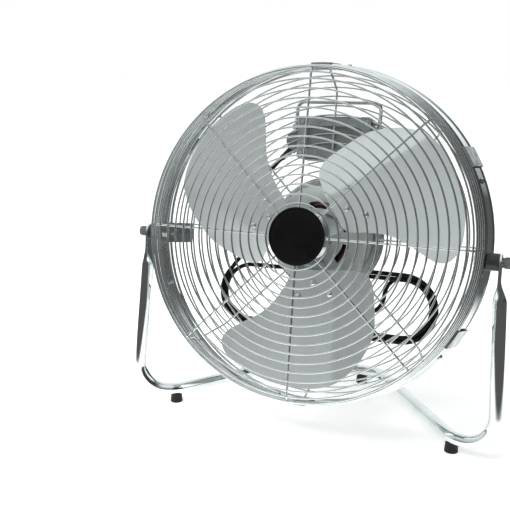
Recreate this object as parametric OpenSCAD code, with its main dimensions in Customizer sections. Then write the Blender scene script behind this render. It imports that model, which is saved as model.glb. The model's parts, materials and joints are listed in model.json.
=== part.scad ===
// Floor fan with a round wire cage that tilts on a bent-tube stand.
// Head pieces are drawn in the fan's own frame: X to the right, Y up, Z forward
// along the fan axis, with the origin at the middle of the cage. in_head() puts
// that frame on the tilt axis. The fan blows towards -Y of the part.

/* [Stand] */
// Height of the tilt axis above the floor
pivot_h = 282; // [276:1:340]
// Diameter of the stand tube
tube_d = 19; // [16:0.5:22]
// Half the distance between the flattened tube ends
pivot_x = 269; // [269:1:300]
// How far the bottom bend of a leg lies outside its flattened end
leg_spread = 14; // [4:1:30]
// How far the bottom bend of a leg lies in front of the tilt axis
leg_forward = 32; // [15:1:50]
// Radius of the bottom bend of a leg
leg_bend_r = 44; // [38:1:60]
// Half the distance between the front feet
front_foot_x = 222; // [205:1:235]
// Half the distance between the rear corners of the base
rear_corner_x = 76; // [60:1:110]
// Distance of the rear crossbar behind the tilt axis
rear_corner_y = 178; // [150:1:215]
// Radius of the rear corners of the base
rear_bend_r = 40; // [32:1:50]
// Thickness of the flattened tube ends
tab_t = 4; // [3:0.5:5]
// Width of the flattened tube ends
tab_w = 26; // [22:1:28]
// Height of the rubber feet below the tube
foot_h = 12; // [8:1:18]
// Diameter of the rubber feet
foot_d = 20; // [16:1:22]

/* [Tilt] */
// Backward lean of the fan axis at rest, in degrees
rest_tilt = 11; // [0:1:25]
// How far the tilt axis lies below the fan axis
pivot_drop = 14; // [5:1:20]
// How far the tilt axis lies behind the middle of the cage
pivot_back = 10; // [5:1:18]
// Diameter of the pivot bolts
bolt_d = 8; // [6:0.5:10]
// Diameter of the clamp knobs
knob_d = 16; // [14:0.5:22]
// Length of the clamp knobs
knob_l = 14; // [12:1:28]

/* [Cage] */
// Outside radius of the band at its front edge
band_front_r = 249; // [244:0.5:252]
// Outside radius of the band at its rear edge
band_rear_r = 255.5; // [252:0.5:257]
// Width of the band
band_w = 38; // [32:1:44]
// Thickness of the band
band_t = 1.2; // [0.8:0.1:2]
// Diameter of the rolled edges of the band
bead_d = 4; // [3:0.5:5]
// Diameter of the ring wires
ring_d = 2.6; // [2:0.1:3.5]
// Diameter of the radial wires
spoke_d = 3.2; // [2.6:0.1:4]
// Diameter of the rim wires
rim_d = 4; // [3:0.5:5]
// Number of radial wires
spoke_count = 8; // [6:1:12]
// Height of the front face in front of the middle of the cage
face_z = 56; // [50:1:65]
// Drop of the front face from its middle to its edge
face_drop = 7; // [3:1:12]
// Radius at which the front face meets the side
corner_r = 237; // [230:0.5:240]
// Radius of the shoulder between face and side
shoulder_r = 14; // [8:1:20]
// Radius of the smallest front ring
ring_first_r = 46.5; // [44:0.5:55]
// Spacing of the rings on the face
ring_pitch = 13.3; // [11:0.1:16]
// Spacing of the rings on the side
side_pitch = 9.3; // [7:0.1:12]
// Depth of the rear face behind the middle of the cage
rear_z = 94; // [88:1:105]
// Radius at which the rear face meets the rear side
rear_corner_r = 229; // [215:0.5:235]
// Radius of the rear shoulder
rear_shoulder_r = 15; // [8:1:20]
// Spacing of the rear rings
rear_pitch = 14.5; // [12:0.5:20]
// Radius of the front badge
badge_r = 41; // [36:0.5:43]
// Number of cage clips
clip_count = 6; // [4:2:8]

/* [Fan] */
// Radius of the blade tips
blade_tip_r = 226; // [190:1:228]
// Thickness of the blade sheet
blade_t = 1.4; // [1:0.1:2]
// Pitch of the main part of a blade, in degrees
blade_pitch = 5; // [2:0.5:8]
// Camber radius of the main part of a blade
camber_r = 700; // [500:10:1200]
// Bend of the leading flap, in degrees
flap_bend = 23; // [10:1:26]
// Offset of the bend line from the blade's centre line
crease_v = 36; // [34:0.5:40]
// Radius of the hub cup
hub_r = 34; // [30:0.5:38]
// Diameter of the motor shaft
shaft_d = 8; // [6:0.5:10]
// Diameter of the rivets
rivet_d = 5; // [4:0.5:6]

/* [Motor] */
// Radius of the motor housing
motor_r = 76; // [60:1:80]
// Position of the front of the motor housing behind the middle of the cage
motor_front_z = 42; // [40:1:50]
// Wall of the motor housing
motor_wall = 2.5; // [2:0.5:4]
// Outside diameter of the bearings
bearing_d = 22; // [19:1:24]
// Width of the bearings
bearing_w = 7; // [6:0.5:8]

/* [Control box] */
// Width of the control box
box_w = 120; // [100:1:130]
// Height of the control box
box_h = 68; // [60:1:76]
// Depth of the control box
box_d = 38; // [34:1:48]
// Wall of the control box
box_wall = 2.4; // [2:0.2:3.5]
// Height of the middle of the control box above the fan axis
box_y = 153; // [145:1:158]
// Diameter of the speed knob
dial_d = 34; // [28:1:40]
// Diameter of the carrying handle rod
handle_d = 6; // [5:0.5:8]
// Height of the handle above the control box
handle_rise = 24; // [20:1:30]

/* [Cord] */
// Diameter of the mains cord
cord_d = 7; // [6:0.5:8]
// Half the length of the hank
hank_x = 182; // [170:1:190]
// Half the height of the hank
hank_y = 56; // [50:1:60]

/* [Hidden] */
$fn = 48;

weld = 0.3;          // how far crossing wires sink into each other
run_gap = 0.05;      // radial clearance of a turning fit
air = 0.3;           // clearance between pieces that only pass each other

tube_r = tube_d / 2;
tube_wall = 1.5;
tube_z = foot_h + tube_r;
front_foot_y = -14;
leg_foot = [pivot_x + leg_spread, -leg_forward, tube_z];
leg_top = [pivot_x, 0, pivot_h];
kink = [front_foot_x, front_foot_y, tube_z];
kink_r = 30;
rear_corner = [rear_corner_x, rear_corner_y, tube_z];
joint = kink + unit(rear_corner - kink) * 18;
neck_l = 52;

band_front_z = -4;
band_rear_z = band_front_z - band_w;
rim_r = band_front_r - 2;
rear_rim_r = band_rear_r - 4;
front_rim_z = band_front_z + (bead_d + rim_d) / 2 + air;
rear_rim_z = band_rear_z - (bead_d + rim_d) / 2 - air;
weld_step = (ring_d + spoke_d) / 2 - weld;

hub_z = -2;
blade_dirs = [34, 154, 274];
arm_turn = 5.5;
rivet_in_r = 69;
rivet_out_r = 90;
rivet_spread = 15;
rivet_head = 4.5;

plate_t = 2;
plate_front_z = -rear_z - ring_d / 2 + weld;
motor_rear_z = plate_front_z;
motor_split_z = -(motor_front_z + 26);
plate_r = 92;
lug_r = 66;
lug_d = 13;
bearing_r = bearing_d / 2;

box_front_z = -rear_z - ring_d / 2;
box_rear_z = box_front_z - box_d;
box_lo = box_y - box_h / 2;
box_hi = box_y + box_h / 2;
dial_x = 26;

tab_in = pivot_x - tab_t / 2;
tab_out = pivot_x + tab_t / 2;
bracket_x = band_front_r - band_t - 6;
hank_c = [0, -104];
hank_z = box_front_z - 8;
hank_d = 16;
hank_band = 24;

// Places the fan's own frame on the tilt axis
module in_head() {
    translate([0, centre_shift, pivot_h]) rotate([90 - rest_tilt, 0, 0])
        translate([0, pivot_drop, pivot_back]) children();
}

module in_stand() {
    translate([0, centre_shift, 0]) children();
}

module both_sides() {
    for (s = [0, 1]) mirror([s, 0, 0]) children();
}

module ring(r, z, d) {
    translate([0, 0, z]) rotate_extrude($fn = 96) translate([r, 0]) circle(d = d, $fn = 16);
}

function unit(v) = v / norm(v);

// Round bar between two points, extended by e at both ends
module bar(a, b, d, e = 0) {
    v = b - a;
    translate(a - unit(v) * e)
        rotate([0, acos(v[2] / norm(v)), atan2(v[1], v[0])])
            cylinder(d = d, h = norm(v) + 2 * e, $fn = 24);
}

// Bend of radius r at corner b of the path a-b-c, as part of a torus
module elbow(a, b, c, r, d) {
    u = unit(a - b);
    w = unit(c - b);
    turn = 180 - acos(u * w);
    centre = b + unit(u + w) * r / cos(turn / 2);
    start = b + u * r * tan(turn / 2) - centre;
    end = b + w * r * tan(turn / 2) - centre;
    x = unit(start);
    n = unit(cross(start, end));
    y = cross(n, x);
    multmatrix([[x[0], y[0], n[0], centre[0]], [x[1], y[1], n[1], centre[1]],
                [x[2], y[2], n[2], centre[2]], [0, 0, 0, 1]])
        rotate_extrude(angle = turn, $fn = 96) translate([r, 0]) circle(d = d, $fn = 24);
}

function elbow_middle(a, b, c, r) =
    let (u = unit(a - b), w = unit(c - b), turn = 180 - acos(u * w))
    b + unit(u + w) * r * (1 / cos(turn / 2) - 1);

function cut_back(a, b, c, r) =
    b + unit(a - b) * r * tan((180 - acos(unit(a - b) * unit(c - b))) / 2);

// Faint swaged bead where a straight length runs into a bend
module bead(p, v, d) {
    bar(p - unit(v) * 0.4, p + unit(v) * 0.4, d + 0.1);
}

// Wire or tube from a to c with one bend at b
module bent_bar(a, b, c, r, d) {
    p = cut_back(a, b, c, r);
    q = cut_back(c, b, a, r);
    bar(a, p, d);
    bead(p, b - a, d);
    elbow(a, b, c, r, d);
    bead(q, c - b, d);
    bar(q, c, d);
}

/* Stand */

// Part of a leg from its bottom bend, round the kink, to the joint with the base
module leg_run(d, over = 0) {
    start = cut_back(kink, leg_foot, leg_top, leg_bend_r);
    bead(start, kink - leg_foot, d);
    bent_bar(start, kink, joint + unit(joint - kink) * over, kink_r, d);
}

module leg_path(d, over = 0) {
    neck = leg_top + unit(leg_foot - leg_top) * (neck_l - 1);
    low = cut_back(neck, leg_foot, kink, leg_bend_r);
    bar(neck, low, d);
    bead(low, leg_foot - leg_top, d);
    elbow(neck, leg_foot, kink, leg_bend_r, d);
    leg_run(d, over);
}

// Hollow leg tube, pressed flat at its top end around the pivot hole
module stand_leg() {
    flat_l = 30;
    fall = norm([leg_forward, pivot_h - tube_z]);
    lean = atan2(leg_forward, pivot_h - tube_z);
    splay = atan2(leg_spread, fall);
    difference() {
        union() {
            leg_path(tube_d);
            translate(leg_top) rotate([-lean, 0, 0]) {
                hull() {
                    rotate([0, -splay, 0]) translate([0, 0, -neck_l])
                        cylinder(d = tube_d + 0.2, h = 2, $fn = 32);
                    translate([-tab_t / 2, -tab_w / 2, -flat_l]) cube([tab_t, tab_w, 1]);
                }
                translate([-tab_t / 2, -tab_w / 2, -flat_l]) cube([tab_t, tab_w, flat_l]);
                rotate([0, 90, 0]) cylinder(d = tab_w, h = tab_t, center = true, $fn = 48);
            }
        }
        leg_path(tube_d - 2 * tube_wall, 1);
        translate([tab_in - 1, 0, pivot_h]) rotate([0, 90, 0])
            cylinder(d = bolt_d + 2 * run_gap, h = tab_t + 2, $fn = 48);
    }
}

module stand_leg_right() { color("silver") in_stand() stand_leg(); }

module stand_leg_left() { color("silver") in_stand() mirror([1, 0, 0]) stand_leg(); }

far_corner = [-rear_corner[0], rear_corner[1], rear_corner[2]];
corner_in = cut_back(far_corner, rear_corner, kink, rear_bend_r);
corner_out = cut_back(kink, rear_corner, far_corner, rear_bend_r);

module crossbar(d) { bar([-corner_in[0], corner_in[1], corner_in[2]], corner_in, d); }

module base_path(d, over = 0) {
    both_sides() {
        bar(joint + unit(kink - joint) * over, corner_out, d);
        bead(corner_out, kink - rear_corner, d);
        elbow(kink, rear_corner, far_corner, rear_bend_r, d);
        bead(corner_in, far_corner - rear_corner, d);
    }
    crossbar(d);
}

// Hollow base tube with two rear corners, between the ends of the legs
module stand_base() {
    color("silver") in_stand() difference() {
        base_path(tube_d);
        base_path(tube_d - 2 * tube_wall, 1);
    }
}

front_foot = elbow_middle(leg_foot, kink, joint, kink_r);
front_way = unit(joint - kink) - unit(leg_foot - kink);
rear_foot = corner_in - [foot_d / 2 + 2, 0, 0];

module foot_blank(p) {
    translate([p[0], p[1], 0]) difference() {
        union() {
            cylinder(d1 = foot_d, d2 = foot_d - 2, h = foot_h, $fn = 32);
            translate([0, 0, foot_h]) cylinder(d = foot_d - 2, h = 3, $fn = 32);
        }
        translate([0, 0, -1]) cylinder(d = 9, h = 3, $fn = 32);
        cylinder(d = 4 + 2 * air, h = foot_h + 8, $fn = 24);
    }
}

// Rubber feet with a saddle that fits the tube
module rubber_feet() {
    color([0.06, 0.06, 0.06]) in_stand() both_sides() {
        difference() {
            foot_blank(front_foot);
            bar(front_foot - front_way * foot_d / 2, front_foot + front_way * foot_d / 2, tube_d);
        }
        difference() {
            foot_blank(rear_foot);
            crossbar(tube_d);
        }
    }
}

// Screws from the pockets of the feet into the tube
module foot_screws() {
    color("gray") in_stand() both_sides() for (p = [front_foot, rear_foot]) translate([p[0], p[1], 0.4]) {
        cylinder(d = 8, h = 1.6, $fn = 24);
        cylinder(d = 4, h = foot_h + 5.6, $fn = 24);
    }
}

/* Cage */

face_in = [0, face_z];
face_out = [corner_r, face_z - face_drop];
side_end = [rim_r, front_rim_z];
rear_in = [0, -rear_z];
rear_out = [rear_corner_r, -rear_z];
rear_end = [rear_rim_r, rear_rim_z];

// Profile of a cage half in its radius-height plane: a line, a shoulder arc, a line.
function bend_angle(a, b, c) = acos(unit(b - a) * unit(c - b));
function bend_cut(a, b, c, r) = r * tan(bend_angle(a, b, c) / 2);
function face_len(a, b, c, r) = norm(b - a) - bend_cut(a, b, c, r);
function arc_len(a, b, c, r) = r * bend_angle(a, b, c) * PI / 180;
function total_len(a, b, c, r) =
    face_len(a, b, c, r) + arc_len(a, b, c, r) + norm(c - b) - bend_cut(a, b, c, r);
function turned(v, s) = [v[1] * s, -v[0] * s];
function at_len(s, a, b, c, r, side) =
    let (u = unit(b - a), w = unit(c - b), l1 = face_len(a, b, c, r), l2 = arc_len(a, b, c, r),
         phi = (s - l1) / r * 180 / PI)
    s < l1 ? a + u * s
    : s < l1 + l2 ? a + u * (l1 + r * sin(phi)) + turned(u, side) * r * (1 - cos(phi))
    : b + w * (bend_cut(a, b, c, r) + s - l1 - l2);

// Offset of the profile to its inside by h, as its three corner points
function face_shift(p, q, side, h) = turned(unit(q - p), side) * h;
function meet(p, u, q, w) = p + u * ((q - p)[0] * w[1] - (q - p)[1] * w[0]) / (u[0] * w[1] - u[1] * w[0]);
function inner_corner(a, b, c, side, h) =
    meet(a + face_shift(a, b, side, h), unit(b - a), b + face_shift(b, c, side, h), unit(c - b));

function to3(p, angle) = [p[0] * cos(angle), p[0] * sin(angle), p[1]];

// Radius and height of each front ring
face_end = face_len(face_in, face_out, side_end, shoulder_r) + ring_pitch / 2;
side_stop = total_len(face_in, face_out, side_end, shoulder_r) - side_pitch / 2;
face_s = [for (s = [ring_first_r : ring_pitch : face_end]) s];
side_s = [for (s = [face_s[len(face_s) - 1] + side_pitch : side_pitch : side_stop]) s];
front_rings = [for (s = concat(face_s, side_s)) at_len(s, face_in, face_out, side_end, shoulder_r, 1)];

// The part's origin lies below the middle of its depth at rest
function reach_of(p) = (p[0] - pivot_drop) * sin(rest_tilt) + (p[1] + pivot_back) * cos(rest_tilt);
front_reach = max([for (p = front_rings) reach_of(p)]) + ring_d / 2;
rear_reach = rear_corner_y + max(tube_r, foot_d / 2);
centre_shift = (front_reach - rear_reach) / 2;

module front_guard_rings() {
    color("silver") in_head() {
        for (p = front_rings) ring(p[0], p[1], ring_d);
        ring(rim_r, front_rim_z, rim_d);
    }
}

// Radial wires run inside the rings and end on the rim wire
module spoke(a, b, c, side, r0, bend_r) {
    corner = inner_corner(a, b, c, side, weld_step);
    start = a + face_shift(a, b, side, weld_step) + unit(b - a) * r0;
    stop = c + face_shift(b, c, side, weld_step);
    bent_bar(to3(start, 0), to3(corner, 0), to3(stop, 0), bend_r, spoke_d);
}

module front_guard_spokes() {
    color("silver") in_head()
        for (k = [0 : spoke_count - 1]) rotate([0, 0, k * 360 / spoke_count])
            spoke(face_in, face_out, side_end, 1, badge_r - 9, shoulder_r - weld_step);
}

plate_rear_z = face_z - weld_step - spoke_d / 2 - 1;
badge_z = plate_rear_z + spoke_d + 2.2;

module front_badge() {
    t = 2.4;
    color([0.02, 0.02, 0.02]) in_head() translate([0, 0, badge_z]) rotate_extrude($fn = 96)
        polygon([[0, 0], [badge_r - 1, 0], [badge_r, 1], [badge_r, t - 0.6], [badge_r - 1.2, t],
                 [badge_r - 6, t + 0.4], [0, t + 0.6]]);
}

// Pressed disc behind the badge that the radial wires are welded to
module badge_plate() {
    r = badge_r - 4;
    t = 1.2;
    color("silver") in_head() rotate_extrude($fn = 96)
        polygon([[0, plate_rear_z], [r, plate_rear_z], [r, plate_rear_z + t], [r - 10, plate_rear_z + t],
                 [r - 12, badge_z], [0, badge_z]]);
}

module drum_band() {
    color("silver") in_head() difference() {
        union() {
            rotate_extrude($fn = 128)
                polygon([[band_front_r - band_t, band_front_z], [band_front_r, band_front_z],
                         [band_rear_r, band_rear_z], [band_rear_r - band_t, band_rear_z]]);
            ring(band_front_r - band_t / 2, band_front_z, bead_d);
            ring(band_rear_r - band_t / 2, band_rear_z, bead_d);
        }
        translate([0, -pivot_drop, -pivot_back]) rotate([0, 90, 0])
            cylinder(d = bolt_d + 1, h = 3 * band_rear_r, center = true, $fn = 48);
    }
}

rear_ring_s = [for (s = [plate_r - 4 : rear_pitch : total_len(rear_in, rear_out, rear_end, rear_shoulder_r) - rear_pitch / 2]) s];

module rear_guard_rings() {
    color("silver") in_head() {
        for (s = rear_ring_s) {
            p = at_len(s, rear_in, rear_out, rear_end, rear_shoulder_r, -1);
            ring(p[0], p[1], ring_d);
        }
        ring(rear_rim_r, rear_rim_z, rim_d);
    }
}

module rear_guard_spokes() {
    color("silver") in_head()
        for (k = [0 : spoke_count - 1]) rotate([0, 0, k * 360 / spoke_count])
            spoke(rear_in, rear_out, rear_end, -1, motor_r + 4, rear_shoulder_r - weld_step);
}

// Pressed plate in the middle of the rear guard that carries the motor
module rear_mount_plate() {
    color("silver") in_head() translate([0, 0, plate_front_z - plate_t]) difference() {
        rotate_extrude($fn = 96)
            polygon([[30, 0], [plate_r, 0], [plate_r, plate_t], [30, plate_t]]);
        for (k = [0 : 3]) rotate([0, 0, 45 + 90 * k]) translate([lug_r, 0, -1])
            cylinder(d = 6.4, h = plate_t + 2, $fn = 32);
        for (k = [0 : 7]) rotate([0, 0, 22.5 + 45 * k]) translate([46, 0, -1])
            cylinder(d = 14, h = plate_t + 2, $fn = 32);
    }
}

clip_w = 30;
clip_t = 1.5;
band_lean = atan2(band_rear_r - band_front_r, band_w);
function band_r(z) = band_front_r + (band_front_z - z) * tan(band_lean);

// Sheet straps over the band that hook round both rim wires
module guard_clips() {
    rise = (bead_d / 2) / cos(band_lean) - band_t / 2;
    lip = 0.8;
    front_lip = [rim_r - lip, front_rim_z + rim_d / 2];
    rear_lip = [rear_rim_r - lip, rear_rim_z - rim_d / 2];
    front_edge = [band_r(front_lip[1]) + rise, front_lip[1]];
    rear_edge = [band_r(rear_lip[1]) + rise, rear_lip[1]];
    span = clip_w / band_front_r * 180 / PI;
    color([0.55, 0.57, 0.58]) in_head()
        for (k = [0 : clip_count - 1]) rotate([0, 0, 90 + k * 360 / clip_count - span / 2])
            rotate_extrude(angle = span, $fn = 128)
                polygon([front_lip, front_lip + [0, clip_t], front_edge + [clip_t, clip_t],
                         rear_edge + [clip_t, -clip_t], rear_lip - [0, clip_t],
                         rear_lip, rear_edge, front_edge]);
}

// Screws beside the clips, through the band
module clip_screws() {
    z = (band_front_z + band_rear_z) / 2;
    color("white") in_head()
        for (k = [0 : clip_count - 1]) rotate([0, 0, 82 + k * 360 / clip_count])
            translate([band_r(z), 0, z]) rotate([0, 90, 0]) {
                cylinder(d1 = 9, d2 = 6, h = 2.6, $fn = 32);
                translate([0, 0, -7]) cylinder(d = 4, h = 8, $fn = 24);
            }
}

/* Tilt joint */

strap_h = 32;
strap_t = 2;
rear_lean = atan2(rear_rim_r - rear_corner_r, rear_rim_z + rear_z);
strap_end_z = -rear_z + 12;
strap_end = [rear_corner_r + (strap_end_z + rear_z) * tan(rear_lean)
             - (weld_step + spoke_d / 2) / cos(rear_lean) + weld, strap_end_z];
strap_mid = [bracket_x, band_rear_z + 4];
strap_start = [bracket_x, -pivot_back + 14];
nut_t = 6;

// Steel strap inside the band that carries a pivot bolt
module pivot_bracket() {
    translate([0, -pivot_drop - strap_h / 2, 0]) difference() {
        rotate([90, 0, 0]) mirror([0, 0, 1]) linear_extrude(strap_h)
            polygon([strap_start, strap_mid, strap_end, strap_end - [strap_t, 0],
                     strap_mid - [strap_t, -0.6], strap_start - [strap_t, 0]]);
        translate([bracket_x - 20, strap_h / 2, -pivot_back]) rotate([0, 90, 0])
            cylinder(d = bolt_d, h = 40, $fn = 48);
        translate([bracket_x - 20, strap_h / 2, band_rear_z + 10]) rotate([0, 90, 0])
            cylinder(d = 4, h = 40, $fn = 24);
    }
}

module pivot_bracket_right() { color("silver") in_head() pivot_bracket(); }

module pivot_bracket_left() { color("silver") in_head() mirror([1, 0, 0]) pivot_bracket(); }

module bracket_screws() {
    reach = band_rear_r + 1;
    color("silver") in_head() both_sides()
        translate([bracket_x, -pivot_drop, band_rear_z + 10]) rotate([0, 90, 0]) {
            translate([0, 0, -strap_t - 2.5]) cylinder(d = 8, h = 2.5, $fn = 24);
            translate([0, 0, -strap_t - 1]) cylinder(d = 4, h = reach - bracket_x, $fn = 24);
        }
}

// Bolts through the bands, with a hexagonal head inside each bracket
module pivot_bolts() {
    color("silver") in_head() both_sides()
        translate([0, -pivot_drop, -pivot_back]) rotate([0, 90, 0]) {
            translate([0, 0, bracket_x - strap_t - nut_t]) cylinder(d = 15, h = nut_t, $fn = 6);
            translate([0, 0, bracket_x - strap_t - 1])
                cylinder(d = bolt_d, h = tab_out + knob_l - 5 - bracket_x + strap_t + 1, $fn = 48);
        }
}

// Plastic spacers between the band and the flattened tube ends, cut to the band's slope
module pivot_spacers() {
    color([0.07, 0.07, 0.07]) in_head() both_sides() difference() {
        translate([bracket_x + 3, -pivot_drop, -pivot_back]) rotate([0, 90, 0])
            cylinder(d = 24, h = tab_in - air - bracket_x - 3, $fn = 48);
        rotate_extrude($fn = 128)
            polygon([[0, 40], [band_front_r + air, 40], [band_front_r + air, band_front_z],
                     [band_rear_r + air, band_rear_z], [band_rear_r + air, -80], [0, -80]]);
        translate([0, 0, band_front_z - bead_d / 2 - air])
            cylinder(r = band_front_r + bead_d / 2, h = 30, $fn = 128);
        translate([bracket_x, -pivot_drop, -pivot_back]) rotate([0, 90, 0])
            cylinder(d = bolt_d, h = 60, $fn = 48);
    }
}

// Clamp knob on the end of a pivot bolt
module clamp_knob() {
    translate([tab_out + air, -pivot_drop, -pivot_back]) rotate([0, 90, 0]) difference() {
        union() {
            cylinder(d = knob_d - 2, h = knob_l, $fn = 48);
            translate([0, 0, 3]) cylinder(d = knob_d, h = knob_l - 4.5, $fn = 48);
        }
        translate([0, 0, -1]) cylinder(d = bolt_d + 2 * run_gap, h = knob_l - 3, $fn = 48);
        for (k = [0 : 11]) rotate([0, 0, 30 * k]) translate([knob_d / 2 + 0.6, 0, 4])
            cylinder(d = 2.6, h = knob_l, $fn = 16);
    }
}

module knob_right() { color([0.25, 0.26, 0.28]) in_head() clamp_knob(); }

module knob_left() { color([0.25, 0.26, 0.28]) in_head() mirror([1, 0, 0]) clamp_knob(); }

/* Motor */

vent_r = 47;
vent_w = 10;

module vent_slots(z, h) {
    sweep = 36;
    for (k = [0 : 5]) rotate([0, 0, 90 - sweep / 2 + 60 * k]) translate([0, 0, z])
        rotate_extrude(angle = sweep, $fn = 96) translate([vent_r - vent_w / 2, 0]) square([vent_w, h]);
}

module motor_lugs(z, h) {
    for (k = [0 : 3]) rotate([0, 0, 45 + 90 * k]) translate([lug_r, 0, z])
        cylinder(d = lug_d, h = h, $fn = 32);
}

module lug_holes(z, h) {
    for (k = [0 : 3]) rotate([0, 0, 45 + 90 * k]) translate([lug_r, 0, z])
        cylinder(d = 5.2, h = h, $fn = 32);
}

module motor_front_cover() {
    f = -motor_front_z;
    color([0.62, 0.64, 0.64]) in_head() difference() {
        union() {
            rotate_extrude($fn = 96)
                polygon([[bearing_r, f + 6], [bearing_r + 5, f + 6], [bearing_r + 7, f], [38, f],
                         [58, f - 1], [motor_r - 6, f - 4], [motor_r, f - 10], [motor_r, motor_split_z],
                         [motor_r - motor_wall, motor_split_z], [motor_r - motor_wall, f - 11],
                         [motor_r - 8, f - 4 - motor_wall], [58, f - 1 - motor_wall],
                         [bearing_r + 3, f - motor_wall], [bearing_r + 3, f - 4], [bearing_r, f - 4]]);
            intersection() {
                motor_lugs(motor_split_z, f - 8 - motor_split_z);
                cylinder(r = motor_r - motor_wall / 2, h = 400, center = true, $fn = 96);
            }
        }
        vent_slots(f - 12, 14);
        lug_holes(motor_split_z - 1, 14);
    }
}

module motor_rear_cover() {
    r = motor_rear_z;
    color([0.5, 0.52, 0.52]) in_head() difference() {
        union() {
            rotate_extrude($fn = 96)
                polygon([[bearing_r, r - 14], [bearing_r + 4, r - 14], [bearing_r + 4, r],
                         [motor_r - 5, r], [motor_r, r + 5], [motor_r, motor_split_z],
                         [motor_r - motor_wall, motor_split_z], [motor_r - motor_wall, r + 6],
                         [motor_r - 7, r + motor_wall], [bearing_r + 4, r + motor_wall],
                         [bearing_r, r + motor_wall]]);
            intersection() {
                motor_lugs(r + 2, motor_split_z - r - 2);
                cylinder(r = motor_r - motor_wall / 2, h = 400, center = true, $fn = 96);
            }
        }
        vent_slots(r - 1, 5);
        lug_holes(r - 1, motor_split_z - r + 2);
    }
}

stator_in = 36;
stator_out = lug_r - lug_d / 2 + weld;
stator_z = motor_split_z - 10;
stator_h = 22;

// Laminated ring with slots for the coils
module motor_stator() {
    color([0.35, 0.36, 0.38]) in_head() translate([0, 0, stator_z]) difference() {
        cylinder(r = stator_out, h = stator_h, $fn = 96);
        translate([0, 0, -1]) cylinder(r = stator_in, h = stator_h + 2, $fn = 96);
        for (k = [0 : 15]) rotate([0, 0, 22.5 * k]) translate([stator_in - 2, -2, -1])
            cube([11, 4, stator_h + 2]);
    }
}

module motor_windings() {
    color([0.72, 0.4, 0.2]) in_head()
        for (z = [stator_z - 4, stator_z + stator_h]) translate([0, 0, z])
            rotate_extrude($fn = 96) translate([38, 0]) square([9, 4]);
}

module motor_bearings() {
    color("gainsboro") in_head()
        for (z = [-motor_front_z - 1, motor_rear_z - 14]) translate([0, 0, z]) difference() {
            cylinder(d = bearing_d, h = bearing_w, $fn = 64);
            translate([0, 0, -1]) cylinder(d = shaft_d + 2 * run_gap, h = bearing_w + 2, $fn = 48);
        }
}

module motor_bolts() {
    head_z = plate_front_z - plate_t;
    color("silver") in_head() for (k = [0 : 3]) rotate([0, 0, 45 + 90 * k]) translate([lug_r, 0, 0]) {
        translate([0, 0, head_z - 3.5]) cylinder(d = 9, h = 3.5, $fn = 6);
        translate([0, 0, head_z - 1]) cylinder(d = 5, h = motor_split_z + 10 - head_z, $fn = 32);
    }
}

shaft_front_z = hub_z + 12;

module motor_shaft() {
    rear = motor_rear_z - 12;
    color("gainsboro") in_head() translate([0, 0, rear])
        cylinder(d = shaft_d, h = shaft_front_z - rear, $fn = 48);
}

module motor_rotor() {
    color([0.45, 0.46, 0.48]) in_head() translate([0, 0, stator_z]) difference() {
        cylinder(r = stator_in - 0.6, h = stator_h, $fn = 96);
        translate([0, 0, -1]) cylinder(d = shaft_d, h = stator_h + 2, $fn = 48);
    }
}

/* Blades. Each blade is drawn along +X, with Y towards its leading edge. */

// Sheet between the depths t0 and t1 behind the pressure face of a blade
module bent_sheet(t0, t1) {
    reach = 2 * blade_tip_r;
    crease_a = asin(crease_v / camber_r);
    rotate([-blade_pitch, 0, 0]) {
        intersection() {
            translate([0, 0, camber_r]) rotate([0, 90, 0]) difference() {
                cylinder(r = camber_r + t1, h = reach, $fn = 256);
                translate([0, 0, -1]) cylinder(r = camber_r + t0, h = reach + 2, $fn = 256);
            }
            translate([-1, -blade_tip_r, -40]) cube([reach + 2, blade_tip_r + crease_v, 120]);
        }
        translate([0, crease_v, camber_r * (1 - cos(crease_a))]) rotate([crease_a - flap_bend, 0, 0])
            translate([0, -t1 * tan(flap_bend / 2), -t1]) cube([reach, 120, t1 - t0]);
    }
}

// Key points of the blade outline; a smooth closed curve runs through them
blade_keys = [[52, -20], [50, 18], [50, 54], [54, 78], [70, 89], [98, 92], [140, 92], [172, 80],
              [198, 62], [218, 36], [226, 0], [223, -38], [212, -74], [194, -106], [176, -124],
              [158, -129], [143, -120], [131, -100], [117, -74], [100, -54], [78, -38]];

function curve(p0, p1, p2, p3, t) = 0.5 * ((2 * p1) + (p2 - p0) * t
    + (2 * p0 - 5 * p1 + 4 * p2 - p3) * t * t + (3 * p1 - p0 - 3 * p2 + p3) * t * t * t);

// The outline is scaled so that its furthest point keeps the tip radius
function blade_outline(steps = 5) =
    let (n = len(blade_keys), k = blade_tip_r / 226)
    [for (i = [0 : n - 1], j = [0 : steps - 1])
        let (p = curve(blade_keys[(i + n - 1) % n], blade_keys[i], blade_keys[(i + 1) % n],
                       blade_keys[(i + 2) % n], j / steps),
             grow = 1 + (k - 1) * max(0, min(1, (norm(p) - 100) / 100)))
        p * grow];

module rivet_spots() {
    for (p = [[rivet_in_r, 0], [rivet_out_r, -rivet_spread], [rivet_out_r, rivet_spread]])
        rotate([0, 0, arm_turn + p[1]]) translate([p[0], 0, 0]) children();
}

module blade(dir) {
    color([0.75, 0.78, 0.79]) in_head() translate([0, 0, hub_z]) rotate([0, 0, dir])
        difference() {
            intersection() {
                bent_sheet(0, blade_t);
                translate([0, 0, -100]) linear_extrude(200) polygon(blade_outline());
            }
            rotate([-blade_pitch, 0, 0]) rivet_spots()
                translate([0, 0, -20]) cylinder(d = rivet_d, h = 40, $fn = 32);
        }
}

module blade_1() { blade(blade_dirs[0]); }

module blade_2() { blade(blade_dirs[1]); }

module blade_3() { blade(blade_dirs[2]); }

arm_t = 2.2;

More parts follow.
